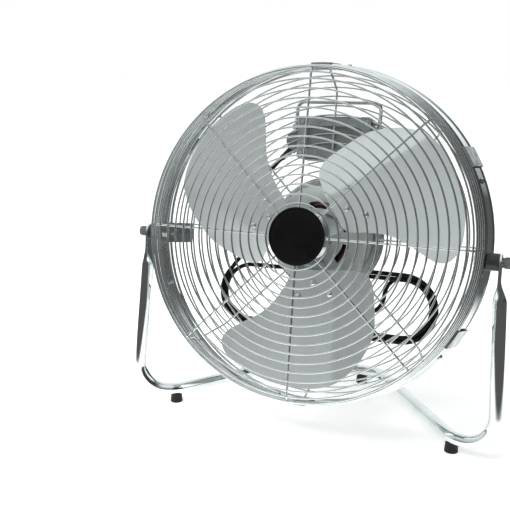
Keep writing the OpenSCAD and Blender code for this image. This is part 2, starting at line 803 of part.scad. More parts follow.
// Pressed three-armed hub with a cup in its middle
module blade_hub() {
    color("lightsteelblue") in_head() translate([0, 0, hub_z]) difference() {
        union() {
            for (d = blade_dirs) rotate([0, 0, d]) intersection() {
                bent_sheet(blade_t, blade_t + arm_t);
                translate([0, 0, -100]) linear_extrude(200) {
                    rotate(arm_turn) polygon([[12, -20], [12, 16], [60, 19], [88, 31], [98, 24],
                                              [98, -24], [88, -31], [60, -22]]);
                }
            }
            rotate_extrude($fn = 96)
                polygon([[0, -6], [hub_r, -6], [hub_r, -2], [hub_r - 7, 4], [14, 6], [11, 10], [0, 10]]);
            translate([0, 0, -20]) cylinder(r = 11, h = 16, $fn = 64);
        }
        translate([0, 0, -30]) cylinder(d = shaft_d, h = 60, $fn = 48);
        for (d = blade_dirs) rotate([0, 0, d]) rotate([-blade_pitch, 0, 0]) rivet_spots()
            translate([0, 0, -20]) cylinder(d = rivet_d, h = 40, $fn = 32);
    }
}

module blade_rivets() {
    color("white") in_head() translate([0, 0, hub_z])
        for (d = blade_dirs) rotate([0, 0, d]) rotate([-blade_pitch, 0, 0]) rivet_spots() {
            translate([0, 0, -blade_t - arm_t - 2.2]) cylinder(d = rivet_d, h = 7, $fn = 32);
            translate([0, 0, 1]) intersection() {
                cylinder(r = rivet_head, h = 3, $fn = 32);
                translate([0, 0, -3]) sphere(r = 5.6, $fn = 48);
            }
        }
}

module hub_nut() {
    color("silver") in_head() translate([0, 0, hub_z + 10]) difference() {
        cylinder(d = 16, h = 7, $fn = 6);
        translate([0, 0, -1]) cylinder(d = shaft_d, h = 5, $fn = 48);
    }
}

/* Control box */

module box_outline(inset) {
    r = 8 - inset;
    for (x = [-1, 1], y = [-1, 1]) translate([x * (box_w / 2 - 8), box_y + y * (box_h / 2 - 8)])
        circle(r = r, $fn = 48);
    translate([-box_w / 2 + 8, box_lo + inset]) square([box_w - 16, box_h - 2 * inset]);
    translate([-box_w / 2 + inset, box_lo + 8]) square([box_w - 2 * inset, box_h - 16]);
}

cover_t = 3;
post_spots = [[-1, -1], [-1, 1], [1, -1], [1, 1]];

module at_posts() {
    for (p = post_spots)
        translate([p[0] * (box_w / 2 - 9), box_y + p[1] * (box_h / 2 - 9), 0]) children();
}

// Open-backed box, with its floor towards the rear guard
module control_box() {
    color([0.3, 0.31, 0.32]) in_head() difference() {
        union() {
            difference() {
                translate([0, 0, box_rear_z + cover_t]) linear_extrude(box_d - cover_t) box_outline(0);
                translate([0, 0, box_rear_z]) linear_extrude(box_d - box_wall) box_outline(box_wall);
            }
            at_posts() translate([0, 0, box_rear_z + cover_t])
                cylinder(r = 4.5, h = box_d - cover_t - 0.5, $fn = 32);
            difference() {
                translate([lobe[0], lobe[1], box_rear_z + cover_t])
                    cylinder(r = lobe_r, h = box_d - cover_t, $fn = 64);
                translate([0, 0, box_rear_z]) linear_extrude(box_d + 1) box_outline(box_wall);
            }
        }
        at_posts() translate([0, 0, box_rear_z - 1]) cylinder(d = 3, h = box_d + 4, $fn = 24);
        gland_hole();
        both_sides() translate([box_w / 2 - box_wall - 1, handle_foot_y, handle_z]) rotate([0, 90, 0])
            cylinder(d = 5, h = 10, $fn = 32);
    }
}

// Rounded side of the box that the cord comes out of, down and to the left
lobe = [-box_w / 2 - 2, box_y - 5, box_front_z - box_d / 2];
lobe_r = 17;
gland_turn = 224;
gland_way = [cos(gland_turn), sin(gland_turn), 0];

module along_gland() {
    translate(lobe) rotate([0, 0, gland_turn]) rotate([0, 90, 0]) children();
}

module gland_hole() {
    along_gland() translate([0, 0, -8]) cylinder(d = 12, h = lobe_r + 10, $fn = 48);
}

module control_box_cover() {
    color([0.14, 0.14, 0.15]) in_head() difference() {
        translate([0, 0, box_rear_z]) linear_extrude(cover_t) box_outline(0);
        translate([dial_x, box_y, box_rear_z - 1]) cylinder(d = 10, h = cover_t + 2, $fn = 48);
        at_posts() translate([0, 0, box_rear_z - 1]) cylinder(d = 3, h = 6, $fn = 24);
    }
}

clamp_z = -rear_z + ring_d / 2 + spoke_d - weld;
clamp_t = 1.6;

// Steel frame inside the rear guard that clamps its wires against the box
module box_bracket() {
    z = clamp_z;
    color([0.4, 0.42, 0.43]) in_head() difference() {
        union() {
            for (y = [-1, 1]) translate([-box_w / 2 + 2, box_y + y * (box_h / 2 - 9) - 7, z])
                cube([box_w - 4, 14, clamp_t]);
            translate([-box_w / 2 + 2, box_y - box_h / 2 + 9, z]) cube([14, box_h - 18, clamp_t]);
            translate([box_w / 2 - 16, box_y - box_h / 2 + 9, z]) cube([14, box_h - 18, clamp_t]);
        }
        at_posts() translate([0, 0, z - 1]) cylinder(d = 3, h = 5, $fn = 24);
    }
}

module box_screws() {
    z = clamp_z + clamp_t;
    color("silver") in_head() at_posts() {
        translate([0, 0, z]) cylinder(d = 6.5, h = 2, $fn = 24);
        translate([0, 0, box_rear_z + 8]) cylinder(d = 3, h = z + 1 - box_rear_z - 8, $fn = 24);
        translate([0, 0, box_rear_z - 1.6]) cylinder(d = 6.5, h = 1.6, $fn = 24);
        translate([0, 0, box_rear_z - 1]) cylinder(d = 3, h = 7, $fn = 24);
    }
}

switch_z = box_rear_z + cover_t;

module rotary_switch() {
    color("ivory") in_head() translate([dial_x, box_y, switch_z]) {
        difference() {
            cylinder(d = 30, h = 18, $fn = 64);
            translate([0, 0, -1]) cylinder(d = 6 + 2 * run_gap, h = 12, $fn = 48);
        }
        for (k = [0 : 3]) rotate([0, 0, 90 * k + 45]) translate([9, -3, 17]) cube([1, 6, 7]);
    }
}

module run_capacitor() {
    color("white") in_head() translate([-36, box_y - 14, box_front_z - box_wall - 20])
        cube([34, 28, 20]);
}

// Speed knob with a pointer ridge and a stem that reaches into the switch
module speed_knob() {
    color([0.12, 0.12, 0.13]) in_head() translate([dial_x, box_y, box_rear_z - air]) {
        difference() {
            union() {
                translate([0, 0, -3]) cylinder(d = dial_d, h = 3, $fn = 64);
                translate([0, 0, -11]) cylinder(d1 = dial_d - 10, d2 = dial_d - 6, h = 9, $fn = 64);
            }
            for (k = [0 : 15]) rotate([0, 0, 22.5 * k]) translate([dial_d / 2 - 3.2, 0, -12])
                cylinder(d = 2.4, h = 8.5, $fn = 16);
        }
        translate([-2, -4, -13]) cube([4, dial_d / 2 - 2, 4]);
        translate([0, 0, -1]) cylinder(d = 6, h = cover_t + 8, $fn = 48);
    }
}

collar_l = 5;
handle_x = box_w / 2 + handle_d / 2 + collar_l;
handle_z = box_front_z - 12;
handle_foot_y = box_hi - 16;
handle_top_y = box_hi + handle_rise;

module carry_handle() {
    r = 12;
    top = [handle_x, handle_top_y, handle_z];
    foot = [handle_x, handle_foot_y - 6, handle_z];
    middle = [0, handle_top_y, handle_z];
    color("silver") in_head() difference() {
        both_sides() bent_bar(foot, top, middle, r, handle_d);
        both_sides() translate([handle_x - 10, handle_foot_y, handle_z]) rotate([0, 90, 0])
            cylinder(d = 4, h = 20, $fn = 32);
    }
}

// Screws with spacer collars and nuts at the feet of the handle
module handle_screws() {
    color("silver") in_head() both_sides() translate([0, handle_foot_y, handle_z]) rotate([0, 90, 0]) {
        translate([0, 0, box_w / 2 - box_wall - 3])
            cylinder(d = 4, h = handle_x + handle_d / 2 + 4 - box_w / 2 + box_wall, $fn = 32);
        translate([0, 0, handle_x + handle_d / 2]) cylinder(d = 8, h = 2.4, $fn = 32);
        translate([0, 0, box_w / 2]) cylinder(d = 9, h = collar_l, $fn = 32);
        translate([0, 0, box_w / 2 - box_wall - 3.8]) cylinder(d = 7.5, h = 3.8, $fn = 6);
    }
}

/* Mains cord */

module cord_gland() {
    color([0.05, 0.05, 0.05]) in_head() along_gland() translate([0, 0, lobe_r])
        difference() {
            union() {
                translate([0, 0, -8]) cylinder(d = 11.6, h = 8.5, $fn = 48);
                cylinder(d = 16, h = 3, $fn = 48);
                translate([0, 0, 3]) cylinder(d1 = 12, d2 = cord_d + 2, h = 22, $fn = 48);
            }
            translate([0, 0, 21]) cylinder(d = cord_d, h = 10, $fn = 48);
        }
}

// Route of the cord from the gland to the hank, in the fan's frame
gland_tip = lobe + gland_way * (lobe_r + 21);
cord_pts = [gland_tip, gland_tip + gland_way * 12, [-109, 98, -113], [-117, 76, -111], [-119, 54, -109.5],
            [-117, 32, -108.5], [-115, 12, -107.8], [-119, -7, -107.3], [-130, -24, -107.1],
            [-143, -40, -107], [-154, -54, -107], [-163, -67, -107]];

function cross_frame(t) = let (side = unit(cross(t, [0, 0, 1]))) [side, cross(side, t)];

function route_points(steps) = concat(
    [for (i = [0 : len(cord_pts) - 2], j = [0 : steps - 1])
        let (a = cord_pts[max(0, i - 1)], b = cord_pts[i], c = cord_pts[i + 1],
             d = cord_pts[min(len(cord_pts) - 1, i + 2)])
        curve(a, b, c, d, j / steps)],
    [cord_pts[len(cord_pts) - 1]]);

module swept_tube(pts, d, sides) {
    n = len(pts);
    rings = [for (i = [0 : n - 1])
        let (t = unit(pts[min(n - 1, i + 1)] - pts[max(0, i - 1)]), f = cross_frame(t))
        for (k = [0 : sides - 1])
            pts[i] + (f[0] * cos(360 * k / sides) + f[1] * sin(360 * k / sides)) * d / 2];
    walls = [for (i = [0 : n - 2], k = [0 : sides - 1])
        let (a = i * sides + k, b = i * sides + (k + 1) % sides)
        [a, b, b + sides, a + sides]];
    first = [for (k = [sides - 1 : -1 : 0]) k];
    last = [for (k = [0 : sides - 1]) (n - 1) * sides + k];
    polyhedron(rings, concat(walls, [first, last]), convexity = 6);
}

module power_cord() {
    color([0.04, 0.04, 0.04]) in_head() swept_tube(route_points(2), cord_d, 10);
}

module hank_outline(grow) {
    r = hank_y + grow;
    x = hank_x - hank_y;
    for (s = [-1, 1]) translate([hank_c[0] + s * x, hank_c[1]]) circle(r = r, $fn = 64);
    translate([hank_c[0] - x, hank_c[1] - r]) square([2 * x, 2 * r]);
}

// The tied cord: a flat loop with round ends
module cord_hank() {
    color([0.04, 0.04, 0.04]) in_head() translate([0, 0, hank_z - hank_d]) linear_extrude(hank_d)
        difference() {
            hank_outline(0);
            hank_outline(-hank_band);
        }
}

tie_x = -34;
tie_w = 5;
tie_t = 1.6;

// Strap round the lower run of the hank and two wires of the rear guard
module cord_tie() {
    low = [hank_c[1] - hank_y, hank_z - hank_d];
    size = [hank_band, -rear_z + ring_d / 2 - low[1]];
    color([0.1, 0.1, 0.1]) in_head() translate([tie_x, 0, 0]) rotate([90, 0, 90]) linear_extrude(tie_w)
        difference() {
            translate(low - [tie_t, tie_t]) square(size + 2 * [tie_t, tie_t]);
            translate(low) square(size);
        }
}

plug_d = 36;
plug_t = 20;
plug_c = [30, hank_c[1] - hank_y + hank_band + plug_d / 2 - 0.5, hank_z - 3];
boot_l = 17;

// Right-angle plug, resting on the lower run of the hank; its pins point to the rear
module plug_body() {
    color([0.04, 0.04, 0.04]) in_head() translate(plug_c) {
        translate([0, 0, -4]) cylinder(d1 = plug_d, d2 = plug_d - 4, h = 4, $fn = 64);
        translate([0, 0, -plug_t]) cylinder(d = plug_d, h = plug_t - 4, $fn = 64);
        translate([plug_d / 2 - 3, 0, -plug_t / 2]) rotate([0, 90, 0])
            cylinder(d1 = 15, d2 = cord_d + 4, h = boot_l, $fn = 48);
    }
}

pin_d = 4.8;
pin_l = 19;
pin_gap = 19;

module plug_pins() {
    color("gold") in_head() translate(plug_c - [0, 0, plug_t])
        for (s = [-1, 1]) translate([s * pin_gap / 2, 0, 0]) {
            translate([0, 0, -pin_l]) cylinder(d = pin_d, h = pin_l, $fn = 32);
            translate([0, 0, -pin_l - 1.5]) cylinder(d1 = pin_d - 2, d2 = pin_d, h = 1.5, $fn = 32);
        }
}

stand_leg_left();
stand_leg_right();
stand_base();
rubber_feet();
foot_screws();
drum_band();
front_guard_rings();
front_guard_spokes();
front_badge();
badge_plate();
rear_guard_rings();
rear_guard_spokes();
rear_mount_plate();
guard_clips();
clip_screws();
pivot_bracket_left();
pivot_bracket_right();
bracket_screws();
pivot_bolts();
pivot_spacers();
knob_left();
knob_right();
motor_front_cover();
motor_rear_cover();
motor_stator();
motor_windings();
motor_bearings();
motor_bolts();
motor_shaft();
motor_rotor();
blade_hub();
blade_1();
blade_2();
blade_3();
blade_rivets();
hub_nut();
control_box();
control_box_cover();
box_bracket();
box_screws();
rotary_switch();
run_capacitor();
speed_knob();
carry_handle();
handle_screws();
cord_gland();
power_cord();
cord_hank();
cord_tie();
plug_body();
plug_pins();
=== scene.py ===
import json
import math
import bmesh
import bpy
import numpy as np
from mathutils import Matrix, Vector

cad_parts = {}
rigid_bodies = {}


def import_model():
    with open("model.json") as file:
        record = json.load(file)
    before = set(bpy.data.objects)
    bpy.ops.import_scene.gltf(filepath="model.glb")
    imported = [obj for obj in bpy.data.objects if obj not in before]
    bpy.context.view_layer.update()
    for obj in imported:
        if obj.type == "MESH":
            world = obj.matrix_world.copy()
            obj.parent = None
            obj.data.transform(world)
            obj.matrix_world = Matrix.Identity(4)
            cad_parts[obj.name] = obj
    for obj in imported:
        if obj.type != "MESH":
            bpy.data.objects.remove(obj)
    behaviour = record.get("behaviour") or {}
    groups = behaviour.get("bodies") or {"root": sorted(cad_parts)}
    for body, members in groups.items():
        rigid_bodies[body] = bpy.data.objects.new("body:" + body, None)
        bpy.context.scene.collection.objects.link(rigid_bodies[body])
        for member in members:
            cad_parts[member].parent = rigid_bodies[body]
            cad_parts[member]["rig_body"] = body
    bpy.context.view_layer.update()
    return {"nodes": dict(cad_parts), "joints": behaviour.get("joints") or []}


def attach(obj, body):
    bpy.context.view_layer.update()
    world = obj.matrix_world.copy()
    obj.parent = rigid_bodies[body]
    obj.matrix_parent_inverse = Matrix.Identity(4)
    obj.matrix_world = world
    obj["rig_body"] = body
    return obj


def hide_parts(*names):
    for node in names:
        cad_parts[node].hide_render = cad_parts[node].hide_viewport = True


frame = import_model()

scene = bpy.context.scene
nodes = frame["nodes"]
joints = {joint["name"]: joint for joint in frame["joints"]}
mm = 0.001


# where the head and the stand are

spinPos = np.array(joints["fan_spin"]["pos_m"], float)
forward = np.array(joints["fan_spin"]["axis"], float)
forward /= np.linalg.norm(forward)
rightward = np.array([1.0, 0.0, 0.0])
upward = np.cross(forward, rightward)
tiltPos = np.array(joints["head_tilt"]["pos_m"], float)


def fromHead(points):
    # millimetres in the fan's own frame (right, up, forward) to metres in the row frame
    points = np.asarray(points, float) * mm
    return spinPos + points[..., :1] * rightward + points[..., 1:2] * upward + points[..., 2:3] * forward


def fromStand(points):
    # millimetres from the floor below the tilt axis to metres in the row frame
    points = np.asarray(points, float) * mm
    return points + np.array([0.0, tiltPos[1], 0.0])


# camera

cameraSetup = {
    "azimuth": 22.0,
    "elevation": 14.0,
    "distance": 1.105,
    "lens": 51.39,
    "target": (-0.0845, float(spinPos[1]), float(spinPos[2]) - 0.0364),
}


def makeCamera(setup):
    turn = math.radians(setup["azimuth"])
    lift = math.radians(setup["elevation"])
    away = Vector((math.sin(turn) * math.cos(lift), -math.cos(turn) * math.cos(lift), math.sin(lift)))
    data = bpy.data.cameras.new("studioCamera")
    data.lens = setup["lens"]
    data.sensor_width = 36.0
    camera = bpy.data.objects.new("studioCamera", data)
    camera.location = Vector(setup["target"]) + away * setup["distance"]
    camera.rotation_euler = away.to_track_quat("Z", "Y").to_euler()
    scene.collection.objects.link(camera)
    scene.camera = camera


makeCamera(cameraSetup)
print("camera placed")


# mesh helpers

def unitRows(vectors):
    return vectors / np.linalg.norm(vectors, axis=-1, keepdims=True)


def smoothStep(x, low, high):
    x = np.clip((x - low) / (high - low), 0.0, 1.0)
    return x * x * (3.0 - 2.0 * x)


def gridFaces(rows, cols, wrapRows, wrapCols, capFirst, capLast):
    # quads between neighbouring rows and columns; a cap closes the first or the last row
    index = np.arange(rows * cols).reshape(rows, cols)
    first = index[0].tolist()
    last = index[-1].tolist()
    if wrapRows:
        index = np.vstack([index, index[:1]])
    if wrapCols:
        index = np.hstack([index, index[:, :1]])
    quads = np.stack([index[:-1, :-1], index[:-1, 1:], index[1:, 1:], index[1:, :-1]], axis=-1)
    faces = quads.reshape(-1, 4).tolist()
    if capFirst:
        faces.append(first[::-1])
    if capLast:
        faces.append(last)
    return faces


def cleanMesh(mesh, sharpAngle):
    bm = bmesh.new()
    bm.from_mesh(mesh)
    bmesh.ops.remove_doubles(bm, verts=bm.verts, dist=2e-6)
    bmesh.ops.dissolve_degenerate(bm, edges=bm.edges, dist=1e-7)
    bmesh.ops.recalc_face_normals(bm, faces=bm.faces)
    bm.to_mesh(mesh)
    bm.free()
    mesh.polygons.foreach_set("use_smooth", np.ones(len(mesh.polygons), dtype=bool))
    mesh.set_sharp_from_angle(angle=math.radians(sharpAngle))


def gridMesh(name, points, wrapRows=False, wrapCols=False, capFirst=False, capLast=False, uv=None,
             sharpAngle=40):
    rows, cols = points.shape[:2]
    faces = gridFaces(rows, cols, wrapRows, wrapCols, capFirst, capLast)
    mesh = bpy.data.meshes.new(name)
    mesh.from_pydata(points.reshape(-1, 3).tolist(), [], faces)
    if uv is not None:
        corner = np.empty(len(mesh.loops), dtype=np.int32)
        mesh.loops.foreach_get("vertex_index", corner)
        layer = mesh.uv_layers.new(name="along")
        layer.data.foreach_set("uv", uv.reshape(-1, 2)[corner].ravel())
    cleanMesh(mesh, sharpAngle)
    return mesh


def addPiece(name, mesh, body, material, instead=()):
    piece = bpy.data.objects.new(name, mesh)
    scene.collection.objects.link(piece)
    mesh.materials.clear()
    mesh.materials.append(material)
    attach(piece, body)
    if instead:
        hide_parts(*instead)
    return piece


def addBevel(piece, width, segments=2, angle=35):
    bevel = piece.modifiers.new("softEdges", "BEVEL")
    bevel.width = width * mm
    bevel.segments = segments
    bevel.limit_method = "ANGLE"
    bevel.angle_limit = math.radians(angle)
    bevel.harden_normals = True


def softenedNode(nodeName, material, bevelWidth, sharpAngle=32):
    # a copy of a CAD node, its triangles joined and its flat faces merged, with softened edges
    source = nodes[nodeName].data
    count = len(source.vertices)
    spots = np.empty(count * 3)
    source.vertices.foreach_get("co", spots)
    corners = np.empty(len(source.loops), dtype=np.int32)
    source.loops.foreach_get("vertex_index", corners)
    mesh = bpy.data.meshes.new(nodeName + "Soft")
    mesh.from_pydata(spots.reshape(-1, 3).tolist(), [], corners.reshape(-1, 3).tolist())
    bm = bmesh.new()
    bm.from_mesh(mesh)
    bmesh.ops.remove_doubles(bm, verts=bm.verts, dist=3e-6)
    bmesh.ops.dissolve_degenerate(bm, edges=bm.edges, dist=1e-6)
    bmesh.ops.dissolve_limit(bm, angle_limit=math.radians(0.6), verts=bm.verts, edges=bm.edges)
    bm.to_mesh(mesh)
    bm.free()
    mesh.polygons.foreach_set("use_smooth", np.ones(len(mesh.polygons), dtype=bool))
    mesh.set_sharp_from_angle(angle=math.radians(sharpAngle))
    piece = addPiece(nodeName + "Soft", mesh, nodes[nodeName]["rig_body"], material, [nodeName])
    if bevelWidth:
        addBevel(piece, bevelWidth)
    return piece


def circleOffsets(count, turn=0.0):
    angle = np.linspace(0.0, 2.0 * np.pi, count, endpoint=False) + turn
    return np.stack([np.cos(angle), np.sin(angle)], axis=-1)


def latheGrid(profile, centre, axis, side, count):
    # profile rows of (radius, distance along the axis) carried once round the axis
    profile = np.asarray(profile, float)
    axis = np.asarray(axis, float) / np.linalg.norm(axis)
    side = np.asarray(side, float) - np.dot(side, axis) * axis
    side /= np.linalg.norm(side)
    other = np.cross(axis, side)
    ringDirs = circleOffsets(count)
    around = ringDirs[:, :1] * side + ringDirs[:, 1:] * other
    return (np.asarray(centre, float) + profile[:, None, 1:2] * axis
            + profile[:, None, 0:1] * around[None, :, :])


def catmull(points, steps):
    # a smooth curve through the points, with steps places on each stretch
    points = np.asarray(points, float)
    ends = np.vstack([points[:1], points, points[-1:]])
    t = (np.arange(steps) / steps)[None, :, None]
    a, b, c, d = (ends[i:len(ends) - 3 + i][:, None, :] for i in range(4))
    curve = 0.5 * (2 * b + (c - a) * t + (2 * a - 5 * b + 4 * c - d) * t ** 2
                   + (3 * b - a - 3 * c + d) * t ** 3)
    return np.vstack([curve.reshape(-1, points.shape[1]), points[-1:]])


def evenly(points, step):
    # the same route with its points an even distance apart
    gaps = np.linalg.norm(np.diff(points, axis=0), axis=1)
    run = np.concatenate([[0.0], np.cumsum(gaps)])
    marks = np.linspace(0.0, run[-1], max(3, int(round(run[-1] / step)) + 1))
    return np.stack([np.interp(marks, run, points[:, k]) for k in range(points.shape[1])], axis=-1)


def filletRoute(corners, radii, step):
    # straight lengths between the corners, with an arc of the given radius at each inner corner
    corners = [np.asarray(c, float) for c in corners]
    route = [corners[0][None, :]]
    for before, corner, after, radius in zip(corners, corners[1:], corners[2:], radii):
        u = unitRows(before - corner)
        w = unitRows(after - corner)
        half = math.acos(float(np.clip(np.dot(u, w), -1, 1))) / 2.0
        middle = corner + unitRows(u + w) * radius / math.sin(half)
        start = corner + u * radius / math.tan(half)
        end = corner + w * radius / math.tan(half)
        x = unitRows(start - middle)
        y = unitRows((end - middle) - np.dot(end - middle, x) * x)
        sweep = math.pi - 2.0 * half
        angle = np.linspace(0.0, sweep, 25)[:, None]
        route.append(middle + radius * (np.cos(angle) * x + np.sin(angle) * y))
    route.append(corners[-1][None, :])
    return evenly(np.vstack(route), step)


def sweepGrid(route, reference, offsets):
    # offsets rows of (sideways, across) for each place on the route, square to its direction
    tangent = unitRows(np.gradient(route, axis=0))
    sideways = unitRows(np.cross(np.cross(tangent, reference), tangent))
    across = np.cross(tangent, sideways)
    return route[:, None, :] + offsets[..., :1] * sideways[:, None, :] + offsets[..., 1:] * across[:, None, :]


# the cord's route

cordFacts = {
    "diameter": 7.0,
    "lobe": (-62.0, 148.0, -114.3),
    "lobeRadius": 17.0,
    "exitTurn": 224.0,
    "run": [(-109, 98, -113), (-117, 76, -111), (-119, 54, -109.5), (-117, 32, -108.5), (-115, 12, -107.8),
            (-119, -7, -107.3), (-130, -24, -107.1), (-143, -40, -107), (-154, -54, -107), (-163, -67, -107)],
    "hankMiddle": (0.0, -104.0),
    "hankHalf": 126.0,
    "startAngle": 145.0,
    "plugRear": (61.0, -118.5, -116.3),
    "lastBend": 31.0,
    "step": 8.0,
}


def hankRoute(facts):
    # a racetrack of two half circles; its radius and depth change a little with the turns made
    half = facts["hankHalf"]
    middle = facts["hankMiddle"]
    turns = np.linspace(0.0, 3.0, 1201)
    radius = 52.3 - 7.3 * smoothStep(turns, 0.72, 0.94) + 3.6 * smoothStep(turns, 1.92, 2.1)
    depth = -107.0 - 7.2 * smoothStep(turns, 1.6, 1.9)
    arc = np.pi * radius
    whole = 4.0 * half + 2.0 * arc
    begin = math.radians(facts["startAngle"] - 90.0)
    along = (turns * whole + begin * radius) % whole      # from the top of the left circle
    leftArc = along < arc
    bottom = (along >= arc) & (along < arc + 2 * half)
    rightArc = (along >= arc + 2 * half) & (along < 2 * arc + 2 * half)
    angle = np.where(leftArc, np.pi / 2 + along / radius, 0.0)
    angle = np.where(rightArc, -np.pi / 2 + (along - arc - 2 * half) / radius, angle)
    x = np.where(leftArc, -half + radius * np.cos(angle), 0.0)
    x = np.where(bottom, -half + along - arc, x)
    x = np.where(rightArc, half + radius * np.cos(angle), x)
    top = ~(leftArc | bottom | rightArc)
    x = np.where(top, half - (along - 2 * arc - 2 * half), x)
    y = np.where(leftArc | rightArc, radius * np.sin(angle), 0.0)
    y = np.where(bottom, -radius, y)
    y = np.where(top, radius, y)
    last = np.flatnonzero((turns > 2.2) & top)[0]
    return np.stack([x + middle[0], y + middle[1], depth], axis=-1)[:last]


def exitAxis(facts):
    # the way the cord leaves the box, and the tip of its strain relief
    turn = math.radians(facts["exitTurn"])
    way = np.array([math.cos(turn), math.sin(turn), 0.0])
    return way, np.array(facts["lobe"]) + way * (facts["lobeRadius"] + 21.0)


def cordRoute(facts):
    way, tip = exitAxis(facts)
    run = catmull([tip, tip + way * 12.0] + facts["run"], 4)
    hank = hankRoute(facts)
    turnRadius = facts["lastBend"]
    end = np.array(facts["plugRear"])
    start = hank[-1]
    drop = start[1] - end[1]
    sweep = math.acos(1.0 - drop / (2.0 * turnRadius))
    angle = np.linspace(0.0, sweep, 14)[1:]
    first = np.stack([start[0] - turnRadius * np.sin(angle),
                      start[1] - turnRadius * (1 - np.cos(angle))], axis=-1)
    back = angle[::-1]
    foot = first[-1] - np.array([turnRadius * math.sin(sweep), turnRadius * (1 - math.cos(sweep))])
    second = np.stack([foot[0] + turnRadius * np.sin(back - back[-1]),
                       foot[1] + turnRadius * (1 - np.cos(back - back[-1]))], axis=-1)
    tail = np.vstack([first, second[1:], [[end[0], end[1]]]])
    share = np.linspace(0.0, 1.0, len(tail))[:, None]
    tail = np.hstack([tail, start[2] + (end[2] - start[2]) * smoothStep(share, 0.2, 0.9)])
    return evenly(np.vstack([run, hank[2:], tail]), facts["step"])


cordLine = cordRoute(cordFacts)


# shared effects as node groups

def newGroup(name, inputs, outputs):
    group = bpy.data.node_groups.new(name, "ShaderNodeTree")
    for label, kind, value in inputs:
        socket = group.interface.new_socket(label, in_out="INPUT", socket_type=kind)
        if value is not None:
            socket.default_value = value
    for label, kind in outputs:
        group.interface.new_socket(label, in_out="OUTPUT", socket_type=kind)
    return group, group.nodes.new("NodeGroupInput"), group.nodes.new("NodeGroupOutput")


def makeGrain():
    # two sizes of noise added up, as a height and as a mask from 0 to 1
    group, source, sink = newGroup(
        "fineGrain",
        [("Vector", "NodeSocketVector", None), ("Scale", "NodeSocketFloat", 900.0),
         ("Coarse", "NodeSocketFloat", 0.3)],
        [("Height", "NodeSocketFloat"), ("Mask", "NodeSocketFloat")])
    fine = group.nodes.new("ShaderNodeTexNoise")
    fine.inputs["Detail"].default_value = 4.0
    broad = group.nodes.new("ShaderNodeTexNoise")
    broad.inputs["Detail"].default_value = 3.0
    fifth = group.nodes.new("ShaderNodeMath")
    fifth.operation = "MULTIPLY"
    fifth.inputs[1].default_value = 0.2
    mix = group.nodes.new("ShaderNodeMix")
    ramp = group.nodes.new("ShaderNodeMapRange")
    ramp.inputs["From Min"].default_value = 0.35
    ramp.inputs["From Max"].default_value = 0.68
    link = group.links.new
    link(source.outputs["Vector"], fine.inputs["Vector"])
    link(source.outputs["Vector"], broad.inputs["Vector"])
    link(source.outputs["Scale"], fine.inputs["Scale"])
    link(source.outputs["Scale"], fifth.inputs[0])
    link(fifth.outputs[0], broad.inputs["Scale"])
    link(source.outputs["Coarse"], mix.inputs["Factor"])
    link(fine.outputs["Fac"], mix.inputs["A"])
    link(broad.outputs["Fac"], mix.inputs["B"])
    link(mix.outputs["Result"], sink.inputs["Height"])
    link(mix.outputs["Result"], ramp.inputs["Value"])
    link(ramp.outputs["Result"], sink.inputs["Mask"])
    return group


def makeSmudges():
    # slow noise stretched between a clean and a handled roughness
    group, source, sink = newGroup(
        "handledSmudges",
        [("Vector", "NodeSocketVector", None), ("Scale", "NodeSocketFloat", 18.0),
         ("Clean", "NodeSocketFloat", 0.08), ("Handled", "NodeSocketFloat", 0.2)],
        [("Roughness", "NodeSocketFloat"), ("Mask", "NodeSocketFloat")])
    noise = group.nodes.new("ShaderNodeTexNoise")
    noise.inputs["Detail"].default_value = 6.0
    noise.inputs["Distortion"].default_value = 0.6
    spread = group.nodes.new("ShaderNodeMapRange")
    spread.inputs["From Min"].default_value = 0.42
    spread.inputs["From Max"].default_value = 0.7
    mix = group.nodes.new("ShaderNodeMix")
    link = group.links.new
    link(source.outputs["Vector"], noise.inputs["Vector"])
    link(source.outputs["Scale"], noise.inputs["Scale"])
    link(noise.outputs["Fac"], spread.inputs["Value"])
    link(spread.outputs["Result"], mix.inputs["Factor"])
    link(source.outputs["Clean"], mix.inputs["A"])
    link(source.outputs["Handled"], mix.inputs["B"])
    link(mix.outputs["Result"], sink.inputs["Roughness"])
    link(spread.outputs["Result"], sink.inputs["Mask"])
    return group


def makeBrushing():
    # noise drawn out along the first axis into long fine lines
    group, source, sink = newGroup(
        "brushedLines",
        [("Vector", "NodeSocketVector", None), ("Along", "NodeSocketFloat", 6.0),
         ("Across", "NodeSocketFloat", 900.0)],
        [("Lines", "NodeSocketFloat")])
    stretch = group.nodes.new("ShaderNodeVectorMath")
    stretch.operation = "MULTIPLY"
    sizes = group.nodes.new("ShaderNodeCombineXYZ")
    noise = group.nodes.new("ShaderNodeTexNoise")
    noise.inputs["Scale"].default_value = 1.0
    noise.inputs["Detail"].default_value = 3.0
    link = group.links.new
    link(source.outputs["Along"], sizes.inputs["X"])
    link(source.outputs["Across"], sizes.inputs["Y"])
    link(source.outputs["Across"], sizes.inputs["Z"])
    link(source.outputs["Vector"], stretch.inputs[0])
    link(sizes.outputs["Vector"], stretch.inputs[1])
    link(stretch.outputs["Vector"], noise.inputs["Vector"])
    link(noise.outputs["Fac"], sink.inputs["Lines"])
    return group


grainGroup = makeGrain()
smudgeGroup = makeSmudges()
brushGroup = makeBrushing()


def startMaterial(name):
    material = bpy.data.materials.new(name)
    material.use_nodes = True
    tree = material.node_tree
    shader = tree.nodes["Principled BSDF"]
    coords = tree.nodes.new("ShaderNodeTexCoord")
    return material, tree, shader, coords


def placeGroup(tree, group, vector, values):
    node = tree.nodes.new("ShaderNodeGroup")
    node.node_tree = group
    tree.links.new(vector, node.inputs["Vector"])
    for label, value in values.items():
        node.inputs[label].default_value = value
    return node


